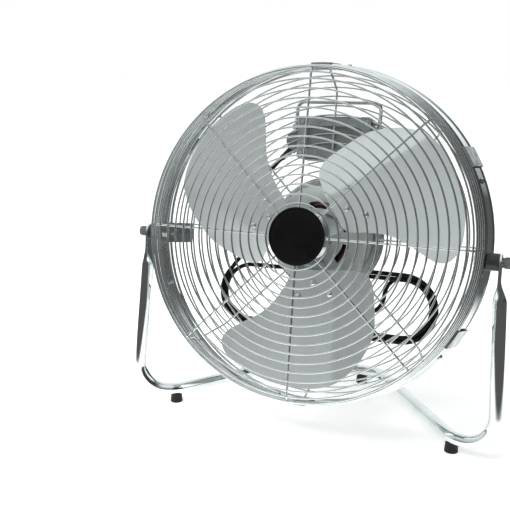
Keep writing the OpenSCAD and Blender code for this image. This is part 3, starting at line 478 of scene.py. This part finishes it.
def blendColors(tree, factor, first, second):
    mix = tree.nodes.new("ShaderNodeMix")
    mix.data_type = "RGBA"
    mix.inputs["A"].default_value = (*first, 1.0)
    mix.inputs["B"].default_value = (*second, 1.0)
    tree.links.new(factor, mix.inputs["Factor"])
    return mix.outputs["Result"]


def addBump(tree, shader, height, strength, distance):
    bump = tree.nodes.new("ShaderNodeBump")
    bump.inputs["Strength"].default_value = strength
    bump.inputs["Distance"].default_value = distance
    tree.links.new(height, bump.inputs["Height"])
    tree.links.new(bump.outputs["Normal"], shader.inputs["Normal"])


def plainFinish(name, look):
    # colour drifts between two tints, roughness between clean and handled, with a fine grain
    material, tree, shader, coords = startMaterial(name)
    where = coords.outputs["Object"]
    smudge = placeGroup(tree, smudgeGroup, where, {
        "Scale": look["patches"], "Clean": look["rough"][0], "Handled": look["rough"][1]})
    grain = placeGroup(tree, grainGroup, where, {"Scale": look["grain"], "Coarse": look.get("coarse", 0.3)})
    color = blendColors(tree, grain.outputs["Mask"] if look.get("speckled") else smudge.outputs["Mask"],
                        *look["tints"])
    tree.links.new(color, shader.inputs["Base Color"])
    tree.links.new(smudge.outputs["Roughness"], shader.inputs["Roughness"])
    shader.inputs["Metallic"].default_value = look.get("metal", 0.0)
    shader.inputs["Specular IOR Level"].default_value = look.get("gloss", 0.5)
    addBump(tree, shader, grain.outputs["Height"], look["bump"], look.get("depth", 0.0002))
    return material


def brushedFinish(name, look, uvName=None):
    # long fine lines vary the roughness and the tint, over slow smudges
    material, tree, shader, coords = startMaterial(name)
    where = coords.outputs["Object"]
    if uvName:
        layer = tree.nodes.new("ShaderNodeUVMap")
        layer.uv_map = uvName
        drawn = layer.outputs["UV"]
    else:
        drawn = where
    lines = placeGroup(tree, brushGroup, drawn, {"Along": look["along"], "Across": look["across"]})
    smudge = placeGroup(tree, smudgeGroup, where, {
        "Scale": look["patches"], "Clean": look["rough"][0], "Handled": look["rough"][1]})
    color = blendColors(tree, lines.outputs["Lines"], *look["tints"])
    tree.links.new(color, shader.inputs["Base Color"])
    sharpen = tree.nodes.new("ShaderNodeMapRange")
    sharpen.inputs["From Min"].default_value = 0.3
    sharpen.inputs["From Max"].default_value = 0.7
    sharpen.inputs["To Min"].default_value = -look["lineRough"]
    sharpen.inputs["To Max"].default_value = look["lineRough"]
    total = tree.nodes.new("ShaderNodeMath")
    total.operation = "ADD"
    tree.links.new(lines.outputs["Lines"], sharpen.inputs["Value"])
    tree.links.new(sharpen.outputs["Result"], total.inputs[0])
    tree.links.new(smudge.outputs["Roughness"], total.inputs[1])
    tree.links.new(total.outputs[0], shader.inputs["Roughness"])
    shader.inputs["Metallic"].default_value = look.get("metal", 1.0)
    addBump(tree, shader, lines.outputs["Lines"], look["bump"], 0.0001)
    return material


finishes = {
    "chromeTube": {"tints": ((0.80, 0.84, 0.84), (0.72, 0.76, 0.76)), "rough": (0.05, 0.13), "patches": 14.0,
                   "grain": 260.0, "bump": 0.02, "metal": 1.0},
    "chromeWire": {"tints": ((0.82, 0.85, 0.85), (0.70, 0.73, 0.73)), "rough": (0.12, 0.24), "patches": 30.0,
                   "grain": 600.0, "bump": 0.05, "metal": 1.0},
    "chromeBand": {"tints": ((0.84, 0.87, 0.87), (0.74, 0.78, 0.78)), "rough": (0.10, 0.20), "patches": 10.0,
                   "grain": 120.0, "bump": 0.05, "metal": 1.0, "coarse": 0.7},
    "hubChrome": {"tints": ((0.86, 0.88, 0.88), (0.74, 0.77, 0.78)), "rough": (0.10, 0.22), "patches": 30.0,
                  "grain": 300.0, "bump": 0.05, "metal": 1.0},
    "boltSteel": {"tints": ((0.74, 0.75, 0.74), (0.60, 0.62, 0.62)), "rough": (0.2, 0.38), "patches": 120.0,
                  "grain": 1400.0, "bump": 0.12, "metal": 1.0},
    "clipSteel": {"tints": ((0.50, 0.53, 0.53), (0.36, 0.39, 0.39)), "rough": (0.2, 0.4), "patches": 60.0,
                  "grain": 900.0, "bump": 0.15, "metal": 1.0},
    "strapSteel": {"tints": ((0.56, 0.58, 0.58), (0.44, 0.46, 0.47)), "rough": (0.24, 0.42), "patches": 60.0,
                   "grain": 900.0, "bump": 0.15, "metal": 1.0},
    "coreSteel": {"tints": ((0.30, 0.31, 0.33), (0.2, 0.21, 0.22)), "rough": (0.3, 0.5), "patches": 80.0,
                  "grain": 700.0, "bump": 0.2, "metal": 1.0},
    "coilCopper": {"tints": ((0.09, 0.036, 0.018), (0.05, 0.02, 0.012)), "rough": (0.22, 0.4),
                   "patches": 90.0, "grain": 500.0, "bump": 0.3, "metal": 0.9},
    "bearingSteel": {"tints": ((0.7, 0.7, 0.7), (0.58, 0.58, 0.58)), "rough": (0.15, 0.3), "patches": 90.0,
                     "grain": 900.0, "bump": 0.05, "metal": 1.0},
    "rivetAluminium": {"tints": ((0.86, 0.88, 0.88), (0.7, 0.72, 0.72)), "rough": (0.22, 0.4),
                       "patches": 120.0, "grain": 1400.0, "bump": 0.12, "metal": 1.0},
    "motorCast": {"tints": ((0.56, 0.59, 0.58), (0.47, 0.50, 0.49)), "rough": (0.42, 0.6), "patches": 40.0,
                  "grain": 1100.0, "bump": 0.35, "metal": 0.35, "speckled": True},
    "badgeSatin": {"tints": ((0.0022, 0.0022, 0.0024), (0.004, 0.004, 0.0042)), "rough": (0.4, 0.5),
                   "patches": 40.0, "grain": 1500.0, "bump": 0.08, "gloss": 0.16},
    "knobGrey": {"tints": ((0.11, 0.115, 0.12), (0.075, 0.08, 0.085)), "rough": (0.38, 0.55), "patches": 90.0,
                 "grain": 1600.0, "bump": 0.22},
    "boxGrey": {"tints": ((0.27, 0.275, 0.275), (0.23, 0.236, 0.236)), "rough": (0.4, 0.55), "patches": 25.0,
                "grain": 1500.0, "bump": 0.3, "speckled": True},
    "blackPlastic": {"tints": ((0.02, 0.021, 0.021), (0.033, 0.034, 0.034)), "rough": (0.36, 0.55),
                     "patches": 60.0, "grain": 1500.0, "bump": 0.25},
    "switchIvory": {"tints": ((0.62, 0.58, 0.46), (0.55, 0.51, 0.40)), "rough": (0.35, 0.5), "patches": 60.0,
                    "grain": 1500.0, "bump": 0.15},
    "capacitorShell": {"tints": ((0.6, 0.6, 0.57), (0.52, 0.52, 0.5)), "rough": (0.3, 0.45), "patches": 60.0,
                       "grain": 1500.0, "bump": 0.15},
    "footRubber": {"tints": ((0.008, 0.008, 0.008), (0.016, 0.016, 0.015)), "rough": (0.5, 0.7),
                   "patches": 70.0, "grain": 900.0, "bump": 0.4, "gloss": 0.3},
    "cordSheath": {"tints": ((0.003, 0.003, 0.003), (0.007, 0.007, 0.007)), "rough": (0.34, 0.5),
                   "patches": 40.0, "grain": 1000.0, "bump": 0.2, "gloss": 0.25},
    "plugRubber": {"tints": ((0.006, 0.006, 0.006), (0.014, 0.014, 0.014)), "rough": (0.4, 0.6),
                   "patches": 60.0, "grain": 1200.0, "bump": 0.3},
    "pinBrass": {"tints": ((0.72, 0.56, 0.26), (0.56, 0.42, 0.18)), "rough": (0.18, 0.34), "patches": 150.0,
                 "grain": 1200.0, "bump": 0.1, "metal": 1.0},
}
brushedLooks = {
    "bladeAluminium": {"tints": ((0.62, 0.655, 0.655), (0.74, 0.775, 0.775)), "rough": (0.36, 0.42),
                       "lineRough": 0.07, "patches": 6.0, "along": 5.0, "across": 420.0, "bump": 0.12,
                       "metal": 0.6},
}
looks = {name: plainFinish(name, look) for name, look in finishes.items()}
looks["bladeAluminium"] = brushedFinish("bladeAluminium", brushedLooks["bladeAluminium"], "along")


def makeTieWeave():
    # two crossed waves make the ribs of a woven strap
    material, tree, shader, coords = startMaterial("tieWeave")
    ribs = tree.nodes.new("ShaderNodeTexWave")
    ribs.bands_direction = "Z"
    ribs.inputs["Scale"].default_value = 260.0
    ribs.inputs["Distortion"].default_value = 0.4
    cross = tree.nodes.new("ShaderNodeTexWave")
    cross.bands_direction = "X"
    cross.inputs["Scale"].default_value = 300.0
    add = tree.nodes.new("ShaderNodeMath")
    add.operation = "ADD"
    for wave, socket in ((ribs, 0), (cross, 1)):
        tree.links.new(coords.outputs["Object"], wave.inputs["Vector"])
        tree.links.new(wave.outputs["Fac"], add.inputs[socket])
    half = tree.nodes.new("ShaderNodeMath")
    half.operation = "MULTIPLY"
    half.inputs[1].default_value = 0.5
    tree.links.new(add.outputs[0], half.inputs[0])
    color = blendColors(tree, half.outputs[0], (0.012, 0.012, 0.013), (0.05, 0.05, 0.052))
    tree.links.new(color, shader.inputs["Base Color"])
    shader.inputs["Roughness"].default_value = 0.8
    shader.inputs["Sheen Weight"].default_value = 0.3
    addBump(tree, shader, half.outputs[0], 0.6, 0.0003)
    return material


looks["tieWeave"] = makeTieWeave()
print("materials made:", len(looks))


# cord, strain relief, plug

def makeCord(line, facts):
    data = bpy.data.curves.new("mainsCord", "CURVE")
    data.dimensions = "3D"
    data.bevel_depth = facts["diameter"] / 2 * mm
    data.bevel_resolution = 4
    data.use_fill_caps = True
    spline = data.splines.new("POLY")
    spline.points.add(len(line) - 1)
    spots = np.ones((len(line), 4))
    spots[:, :3] = fromHead(line)
    spline.points.foreach_set("co", spots.ravel())
    spline.use_smooth = True
    data.materials.append(looks["cordSheath"])
    cord = bpy.data.objects.new("mainsCord", data)
    scene.collection.objects.link(cord)
    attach(cord, "head")
    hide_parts("power_cord", "cord_hank")
    return cord


reliefShape = {
    "length": 24.0,
    "rootRadius": 6.0,
    "tipRadius": 4.5,
    "skin": 0.2,
    "ribs": 7,
    "ribsFrom": 0.24,
    "ribsTo": 0.9,
    "ribDepth": 0.55,
    "coneFrom": 0.16,
    "flange": [(0.0, -6.0), (5.6, -6.0), (5.6, -2.5), (7.4, -2.5), (8.0, -1.8), (8.0, 2.4), (7.4, 3.0),
               (6.4, 3.2)],
    "tip": [(4.3, 24.2), (3.6, 24.3), (0.0, 24.3)],
}


def makeStrainRelief(shape, facts):
    # a cone that narrows towards the cord, with grooves round it, on a round flange
    t = np.linspace(0.0, 1.0, 141)
    ribsFrom, ribsTo = shape["ribsFrom"], shape["ribsTo"]
    inRibs = (t > ribsFrom) & (t < ribsTo)
    wave = np.cos(2 * np.pi * (t - ribsFrom) / (ribsTo - ribsFrom) * shape["ribs"])
    groove = np.where(inRibs, shape["ribDepth"] * smoothStep(wave, 0.0, 0.6), 0.0)
    cone = shape["rootRadius"] + (shape["tipRadius"] - shape["rootRadius"]) * t + shape["skin"] - groove
    onCone = t > shape["coneFrom"]
    body = np.stack([cone[onCone], shape["length"] * t[onCone]], axis=-1)
    profile = np.vstack([shape["flange"], body, shape["tip"]])
    way = exitAxis(facts)[0]
    centre = fromHead(np.array(facts["lobe"]) + way * facts["lobeRadius"])
    axis = way[0] * rightward + way[1] * upward
    grid = latheGrid(profile * mm, centre, axis, forward, 40)
    mesh = gridMesh("strainRelief", grid, wrapCols=True, sharpAngle=50)
    return addPiece("strainRelief", mesh, "head", looks["plugRubber"], ["cord_gland"])


plugShape = {
    "centre": (30.0, -118.5, -106.3),
    "bootDepth": 10.0,
    "step": 0.4,
    "body": [(0.0, 0.2), (11.4, 0.2), (12.2, -0.5), (13.2, -0.5), (14.2, 0.0), (15.4, -0.3), (16.6, -1.4),
             (17.6, -3.2), (18.0, -4.6), (18.0, -6.2), (17.5, -6.9), (18.0, -7.6), (18.0, -9.2), (17.5, -9.9),
             (18.0, -10.6), (18.0, -12.2), (17.5, -12.9), (18.0, -13.6), (18.0, -18.2), (17.4, -19.6),
             (16.2, -20.0), (0.0, -20.0)],
    "boot": [(0.0, 12.0), (7.6, 12.0), (7.6, 17.6), (6.9, 18.4), (7.3, 19.4), (6.7, 20.4), (7.0, 21.4),
             (6.4, 22.4), (6.7, 23.4), (6.1, 24.4), (6.4, 25.4), (5.8, 26.4), (6.1, 27.4), (5.6, 28.4),
             (5.8, 29.6), (5.4, 31.0), (4.6, 32.0), (3.4, 32.1), (0.0, 32.1)],
}


def turnedRubber(name, profile, step, centre, axis, side, count):
    grid = latheGrid(evenly(np.array(profile), step) * mm, centre, axis, side, count)
    mesh = gridMesh(name, grid, wrapCols=True, sharpAngle=50)
    return addPiece(name, mesh, "head", looks["plugRubber"], ["plug_body"])


def makePlug(shape):
    # a right-angle plug: a grooved disc, and a ribbed boot that leaves its side
    centre = fromHead(shape["centre"])
    middle = centre - forward * shape["bootDepth"] * mm
    body = turnedRubber("plugShell", shape["body"], shape["step"], centre, forward, upward, 72)
    boot = turnedRubber("plugBoot", shape["boot"], shape["step"], middle, rightward, upward, 40)
    return body, boot


cord = makeCord(cordLine, cordFacts)
makeStrainRelief(reliefShape, cordFacts)
plug, plugBoot = makePlug(plugShape)
pins = softenedNode("plug_pins", looks["pinBrass"], 0.0)
tie = softenedNode("cord_tie", looks["tieWeave"], 0.5)
print("cord made")


# stand

standShape = {
    "tubeRadius": 9.5,
    "tabThick": 4.0,
    "tabWide": 26.0,
    "flatLength": 30.0,
    "neckLength": 56.0,
    "top": (269.0, 0.0, 282.0),
    "foot": (283.0, -32.0, 21.5),
    "kink": (222.0, -14.0, 21.5),
    "rearCorner": (76.0, 178.0, 21.5),
    "bends": (44.0, 30.0, 40.0),
    "joint": 18.0,
    "around": 56,
}


def superCircle(count, halfX, halfY, power):
    # |x/halfX|^power + |y/halfY|^power = 1; power 2 is an ellipse, higher ones are squarer
    ringDirs = circleOffsets(count)[None, :, :]
    power = power[:, None, None]
    raised = np.sign(ringDirs) * np.abs(ringDirs) ** (2.0 / power)
    return raised * np.stack([halfX, halfY], axis=-1)[:, None, :]


def makeLeg(shape, side, name, node):
    # a tube along the leg's bends, squeezed to a flat tab with a round end at the pivot
    top = np.array(shape["top"])
    foot = np.array(shape["foot"])
    kink = np.array(shape["kink"])
    rear = np.array(shape["rearCorner"])
    joint = kink + unitRows(rear - kink) * shape["joint"]
    fallDir = unitRows(np.array([0.0, foot[1] - top[1], foot[2] - top[2]]))
    tip = top - fallDir * (shape["tabWide"] / 2)
    flatEnd = top + fallDir * shape["flatLength"]
    neckEnd = top + unitRows(foot - top) * (shape["flatLength"] + 24)
    route = filletRoute([tip, flatEnd, neckEnd, foot, kink, joint], (200.0, 60.0, *shape["bends"][:2]), 1.5)
    down = np.concatenate([[0.0], np.cumsum(np.linalg.norm(np.diff(route, axis=0), axis=1))])
    half = shape["tabWide"] / 2
    flat = half + shape["flatLength"]
    change = smoothStep(down, flat - 4.0, half + shape["neckLength"])
    wide = half + (shape["tubeRadius"] - half) * change
    nearTip = np.clip(1.0 - down / half, 0.0, 1.0)
    wide = np.where(down < half, half * np.sqrt(np.clip(1.0 - nearTip ** 2, 0.0, 1.0)), wide)
    thick = shape["tabThick"] / 2 + (shape["tubeRadius"] - shape["tabThick"] / 2) * change
    power = 7.0 + (2.0 - 7.0) * smoothStep(down, flat - 8.0, half + shape["neckLength"] - 6.0)
    offsets = superCircle(shape["around"], thick, wide, power)
    grid = sweepGrid(route, np.array([1.0, 0.0, 0.0]), offsets)
    grid = fromStand(grid * np.array([side, 1.0, 1.0]))
    mesh = gridMesh(name, grid, wrapCols=True, capFirst=False, capLast=True, sharpAngle=50)
    return addPiece(name, mesh, "stand", looks["chromeTube"], [node])


def makeBase(shape):
    # one tube from leg to leg with a bend at each rear corner
    kink = np.array(shape["kink"])
    rear = np.array(shape["rearCorner"])
    joint = kink + unitRows(rear - kink) * shape["joint"]
    flip = np.array([-1.0, 1.0, 1.0])
    bend = shape["bends"][2]
    route = filletRoute([joint, rear, rear * flip, joint * flip], (bend, bend), 2.0)
    circle = circleOffsets(shape["around"])[None, :, :] * shape["tubeRadius"]
    grid = sweepGrid(route, np.array([0.0, 0.0, 1.0]), np.repeat(circle, len(route), axis=0))
    mesh = gridMesh("baseTube", fromStand(grid), wrapCols=True, capFirst=True, capLast=True, sharpAngle=50)
    return addPiece("baseTube", mesh, "stand", looks["chromeTube"], ["stand_base"])


makeLeg(standShape, -1.0, "legTubeLeft", "stand_leg_left")
makeLeg(standShape, 1.0, "legTubeRight", "stand_leg_right")
makeBase(standShape)
softenedNode("rubber_feet", looks["footRubber"], 0.9)
print("stand made")


# blades

bladeShape = {
    "directions": (34.0, 154.0, 274.0),
    "hubDepth": -2.0,
    "thickness": 1.4,
    "pitch": 5.0,
    "camber": 700.0,
    "crease": 36.0,
    "flap": 23.0,
    "creaseSoft": 3.0,
    "outline": [(52, -20), (50, 18), (50, 54), (54, 78), (70, 89), (98, 92), (140, 92), (172, 80), (198, 62),
                (218, 36), (226, 0), (223, -38), (212, -74), (194, -106), (176, -124), (158, -129),
                (143, -120), (131, -100), (117, -74), (100, -54), (78, -38)],
    "rows": 110,
    "cols": 64,
}


def closedCurve(points, steps):
    # a smooth closed curve through the points
    points = np.asarray(points, float)
    t = (np.arange(steps) / steps)[None, :, None]
    a, b, c, d = (np.roll(points, 1 - i, axis=0)[:, None, :] for i in range(4))
    curve = 0.5 * (2 * b + (c - a) * t + (2 * a - 5 * b + 4 * c - d) * t ** 2
                   + (3 * b - a - 3 * c + d) * t ** 3)
    return curve.reshape(-1, 2)


def bladeSection(shape):
    # the sheet's height over its chord: an arc of the camber radius, then a straight flap;
    # the slope changes smoothly over a few millimetres at the crease
    chord = np.linspace(-150.0, 130.0, 2801)
    arcSlope = chord / np.sqrt(shape["camber"] ** 2 - chord ** 2)
    creaseAngle = math.asin(shape["crease"] / shape["camber"])
    flapSlope = math.tan(creaseAngle - math.radians(shape["flap"]))
    soft = shape["creaseSoft"]
    crease = shape["crease"]
    slope = arcSlope + (flapSlope - arcSlope) * smoothStep(chord, crease - soft, crease + soft)
    height = np.concatenate([[0.0], np.cumsum((slope[1:] + slope[:-1]) / 2 * np.diff(chord))])
    height -= np.interp(0.0, chord, height)
    pitch = math.radians(shape["pitch"])
    along = chord * math.cos(pitch) + height * math.sin(pitch)
    return along, height * math.cos(pitch) - chord * math.sin(pitch)


def makeBlade(shape, number):
    outline = closedCurve(shape["outline"], 24)
    low = int(np.argmin(outline[:, 1]))
    outline = np.roll(outline, -low, axis=0)
    high = int(np.argmax(outline[:, 1]))
    inner = outline[:high + 1]
    outer = np.vstack([outline[high:], outline[:1]])[::-1]
    spread = 0.5 - 0.5 * np.cos(np.linspace(0.0, np.pi, shape["rows"]))
    level = outline[0, 1] + (outline[high, 1] - outline[0, 1]) * spread
    left = np.interp(level, np.maximum.accumulate(inner[:, 1]), inner[:, 0])
    right = np.interp(level, np.maximum.accumulate(outer[:, 1]), outer[:, 0])
    share = np.linspace(0.0, 1.0, shape["cols"])[None, :]
    x = left[:, None] + (right - left)[:, None] * share
    y = np.repeat(level[:, None], shape["cols"], axis=1)
    sectionY, sectionZ = bladeSection(shape)
    z = np.interp(y, sectionY, sectionZ) + shape["hubDepth"]
    turn = math.radians(shape["directions"][number - 1])
    placed = np.stack([x * math.cos(turn) - y * math.sin(turn),
                       x * math.sin(turn) + y * math.cos(turn), z], axis=-1)
    uv = np.stack([x, y], axis=-1) * mm
    mesh = gridMesh(f"bladeSheet{number}", fromHead(placed), uv=uv, sharpAngle=60)
    towards = np.zeros(len(mesh.polygons) * 3)
    mesh.polygons.foreach_get("normal", towards)
    if float((towards.reshape(-1, 3) @ forward).mean()) < 0:
        mesh.flip_normals()
    piece = addPiece(f"bladeSheet{number}", mesh, "rotor", looks["bladeAluminium"],
                     [f"blade_{number}"])
    wall = piece.modifiers.new("sheet", "SOLIDIFY")
    wall.thickness = shape["thickness"] * mm
    wall.offset = -1.0
    addBevel(piece, 0.35, 2, 50)
    return piece


for number in (1, 2, 3):
    makeBlade(bladeShape, number)
softenedNode("blade_hub", looks["hubChrome"], 0.7)
softenedNode("hub_nut", looks["boltSteel"], 0.5)
print("rotor made")


# badge

badgeShape = {
    "depth": 55.4,
    "profile": [(0.0, -2.2), (40.0, -2.2), (41.0, -1.2), (41.0, 0.4), (40.6, 1.1), (39.6, 1.5), (38.4, 1.3),
                (37.6, 0.7), (36.4, 0.55), (35.0, 0.9), (33.5, 1.3), (28.0, 1.75), (20.0, 2.1), (10.0, 2.3),
                (0.0, 2.35)],
}


def badgeDepth():
    # the front of the badge's CAD piece, measured along the fan axis
    spots = np.empty(len(nodes["front_badge"].data.vertices) * 3)
    nodes["front_badge"].data.vertices.foreach_get("co", spots)
    along = (spots.reshape(-1, 3) - spinPos) @ forward / mm
    return float(along.min()), float(along.max())


def makeBadge(shape):
    # a shallow dome with a rolled rim and a groove inside it, blank
    back, front = badgeDepth()
    profile = np.array(shape["profile"])
    share = (profile[:, 1] + 2.2) / 4.55
    dense = evenly(np.stack([profile[:, 0], back + (front - back) * share], axis=-1), 0.6)
    grid = latheGrid(dense * mm, spinPos, forward, upward, 128)
    mesh = gridMesh("badgeDisc", grid, wrapCols=True, sharpAngle=50)
    return addPiece("badgeDisc", mesh, "head", looks["badgeSatin"], ["front_badge"])


makeBadge(badgeShape)


# pieces that keep the CAD shape, with softened edges or their own finish

softened = {
    "guard_clips": ("clipSteel", "clip_steel", 0.4),
    "clip_screws": ("boltSteel", "fastener_steel", 0.3),
    "knob_left": ("knobGrey", "knob_plastic", 0.5),
    "knob_right": ("knobGrey", "knob_plastic", 0.5),
    "pivot_spacers": ("blackPlastic", "black_plastic", 0.5),
    "pivot_bracket_left": ("strapSteel", "bracket_steel", 0.3),
    "pivot_bracket_right": ("strapSteel", "bracket_steel", 0.3),
    "motor_front_cover": ("motorCast", "motor_cast", 0.6),
    "motor_rear_cover": ("motorCast", "motor_cast", 0.6),
    "rear_mount_plate": ("chromeWire", "wire_chrome", 0.3),
    "badge_plate": ("chromeWire", "wire_chrome", 0.3),
    "box_bracket": ("strapSteel", "bracket_steel", 0.3),
    "control_box": ("boxGrey", "box_plastic", 0.6),
    "control_box_cover": ("blackPlastic", "black_plastic", 0.6),
    "speed_knob": ("blackPlastic", "black_plastic", 0.4),
}
kept = {
    "front_guard_rings": "chromeWire", "front_guard_spokes": "chromeWire",
    "rear_guard_rings": "chromeWire", "rear_guard_spokes": "chromeWire",
    "drum_band": "chromeBand", "carry_handle": "chromeWire", "foot_screws": "boltSteel",
    "bracket_screws": "boltSteel", "pivot_bolts": "boltSteel", "box_screws": "boltSteel",
    "handle_screws": "boltSteel", "motor_bolts": "boltSteel", "motor_shaft": "bearingSteel",
    "motor_stator": "coreSteel", "motor_rotor": "coreSteel", "motor_windings": "coilCopper",
    "motor_bearings": "bearingSteel", "blade_rivets": "rivetAluminium", "rotary_switch": "switchIvory",
    "run_capacitor": "capacitorShell",
}
for nodeName, (lookName, slotName, width) in softened.items():
    softenedNode(nodeName, looks[lookName], width)
for nodeName, lookName in kept.items():
    mesh = nodes[nodeName].data
    mesh.materials.clear()
    mesh.materials.append(looks[lookName])
print("all pieces made")


# studio

studio = {
    "floorTint": ((0.95, 0.955, 0.945), (0.92, 0.925, 0.915)),
    "floorHalf": 40.0,
    "floorGlow": 0.45,
    "floorNear": 0.42,
    "floorFar": 0.72,
    "floorSheen": 0.1,
    "beyond": 0.10,
    "ceiling": 0.95,
    "backdrop": 1.05,
    "left": 0.8,
    "front": 0.12,
    "frontHigh": 0.40,
    "right": 0.05,
    "frontRise": (0.12, 0.4),
    "backdropEdge": (-0.1, 0.5),
    "leftEdge": (-0.45, -0.9),
    "ceilingEdge": (0.42, 0.8),
    "rightEdge": (0.10, 0.45),
    "keyPower": 62.0,
    "keyPlace": (-0.9, -0.9, 2.4),
    "keyAim": (0.0, 0.0, 0.2),
    "keySize": (2.2, 1.6),
}


def mapped(tree, value, low, high):
    node = tree.nodes.new("ShaderNodeMapRange")
    node.interpolation_type = "SMOOTHSTEP"
    node.inputs["From Min"].default_value = low
    node.inputs["From Max"].default_value = high
    tree.links.new(value, node.inputs["Value"])
    return node.outputs["Result"]


def mixLevels(tree, factor, first, second):
    node = tree.nodes.new("ShaderNodeMix")
    for socket, value in ((node.inputs["A"], first), (node.inputs["B"], second)):
        if isinstance(value, float):
            socket.default_value = value
        else:
            tree.links.new(value, socket)
    tree.links.new(factor, node.inputs["Factor"])
    return node.outputs["Result"]


def makeFloor(setup):
    material, tree, shader, coords = startMaterial("paleFloor")
    smudge = placeGroup(tree, smudgeGroup, coords.outputs["Object"],
                        {"Scale": 2.0, "Clean": 0.6, "Handled": 0.75})
    color = blendColors(tree, smudge.outputs["Mask"], *setup["floorTint"])
    tree.links.new(color, shader.inputs["Base Color"])
    tree.links.new(smudge.outputs["Roughness"], shader.inputs["Roughness"])
    shader.inputs["Specular IOR Level"].default_value = setup["floorSheen"]
    shader.inputs["Emission Color"].default_value = (1.0, 1.0, 0.985, 1.0)
    shader.inputs["Emission Strength"].default_value = setup["floorGlow"]
    reach = tree.nodes.new("ShaderNodeVectorMath")
    reach.operation = "LENGTH"
    tree.links.new(coords.outputs["Object"], reach.inputs[0])
    far = mapped(tree, reach.outputs["Value"], setup["floorNear"], setup["floorFar"])
    path = tree.nodes.new("ShaderNodeLightPath")
    seen = tree.nodes.new("ShaderNodeMath")      # only reflections find the pale sheet ending
    seen.operation = "MULTIPLY"
    tree.links.new(far, seen.inputs[0])
    tree.links.new(path.outputs["Is Glossy Ray"], seen.inputs[1])
    dim = tree.nodes.new("ShaderNodeEmission")
    dim.inputs["Strength"].default_value = setup["beyond"]
    mix = tree.nodes.new("ShaderNodeMixShader")
    tree.links.new(seen.outputs[0], mix.inputs["Fac"])
    tree.links.new(shader.outputs["BSDF"], mix.inputs[1])
    tree.links.new(dim.outputs["Emission"], mix.inputs[2])
    tree.links.new(mix.outputs["Shader"], tree.nodes["Material Output"].inputs["Surface"])
    half = setup["floorHalf"]
    mesh = bpy.data.meshes.new("floorSheet")
    corners = [(-half, -half, 0), (half, -half, 0), (half, half, 0), (-half, half, 0)]
    mesh.from_pydata(corners, [], [(0, 1, 2, 3)])
    mesh.materials.append(material)
    floor = bpy.data.objects.new("floorSheet", mesh)
    scene.collection.objects.link(floor)


def makeWorld(setup):
    # the room's brightness changes with direction: bright above and behind, dim in front, dark right
    world = bpy.data.worlds.new("studioRoom")
    scene.world = world
    world.use_nodes = True
    tree = world.node_tree
    coords = tree.nodes.new("ShaderNodeTexCoord")
    split = tree.nodes.new("ShaderNodeSeparateXYZ")
    tree.links.new(coords.outputs["Generated"], split.inputs["Vector"])
    x, y, z = split.outputs["X"], split.outputs["Y"], split.outputs["Z"]
    level = mixLevels(tree, mapped(tree, z, *setup["frontRise"]), setup["front"], setup["frontHigh"])
    for direction, edge, side in ((y, "backdropEdge", "backdrop"), (x, "leftEdge", "left"),
                                  (z, "ceilingEdge", "ceiling"), (x, "rightEdge", "right")):
        level = mixLevels(tree, mapped(tree, direction, *setup[edge]), level, setup[side])
    room = tree.nodes["Background"]
    room.inputs["Color"].default_value = (0.96, 0.995, 1.0, 1.0)
    tree.links.new(level, room.inputs["Strength"])
    plain = tree.nodes.new("ShaderNodeBackground")
    plain.inputs["Color"].default_value = (1.0, 1.0, 1.0, 1.0)
    plain.inputs["Strength"].default_value = 1.0
    path = tree.nodes.new("ShaderNodeLightPath")
    mix = tree.nodes.new("ShaderNodeMixShader")
    tree.links.new(path.outputs["Is Camera Ray"], mix.inputs["Fac"])
    tree.links.new(room.outputs["Background"], mix.inputs[1])
    tree.links.new(plain.outputs["Background"], mix.inputs[2])
    tree.links.new(mix.outputs["Shader"], tree.nodes["World Output"].inputs["Surface"])


def makeLight(name, place, aim, size, power):
    data = bpy.data.lights.new(name, "AREA")
    data.shape = "RECTANGLE"
    data.size = size[0]
    data.size_y = size[1]
    data.energy = power
    light = bpy.data.objects.new(name, data)
    light.location = place
    light.rotation_euler = (Vector(place) - Vector(aim)).to_track_quat("Z", "Y").to_euler()
    light.visible_glossy = False
    scene.collection.objects.link(light)


makeFloor(studio)
makeWorld(studio)
makeLight("softboxAbove", studio["keyPlace"], studio["keyAim"], studio["keySize"], studio["keyPower"])
scene.view_settings.view_transform = "Standard"
print("studio made")
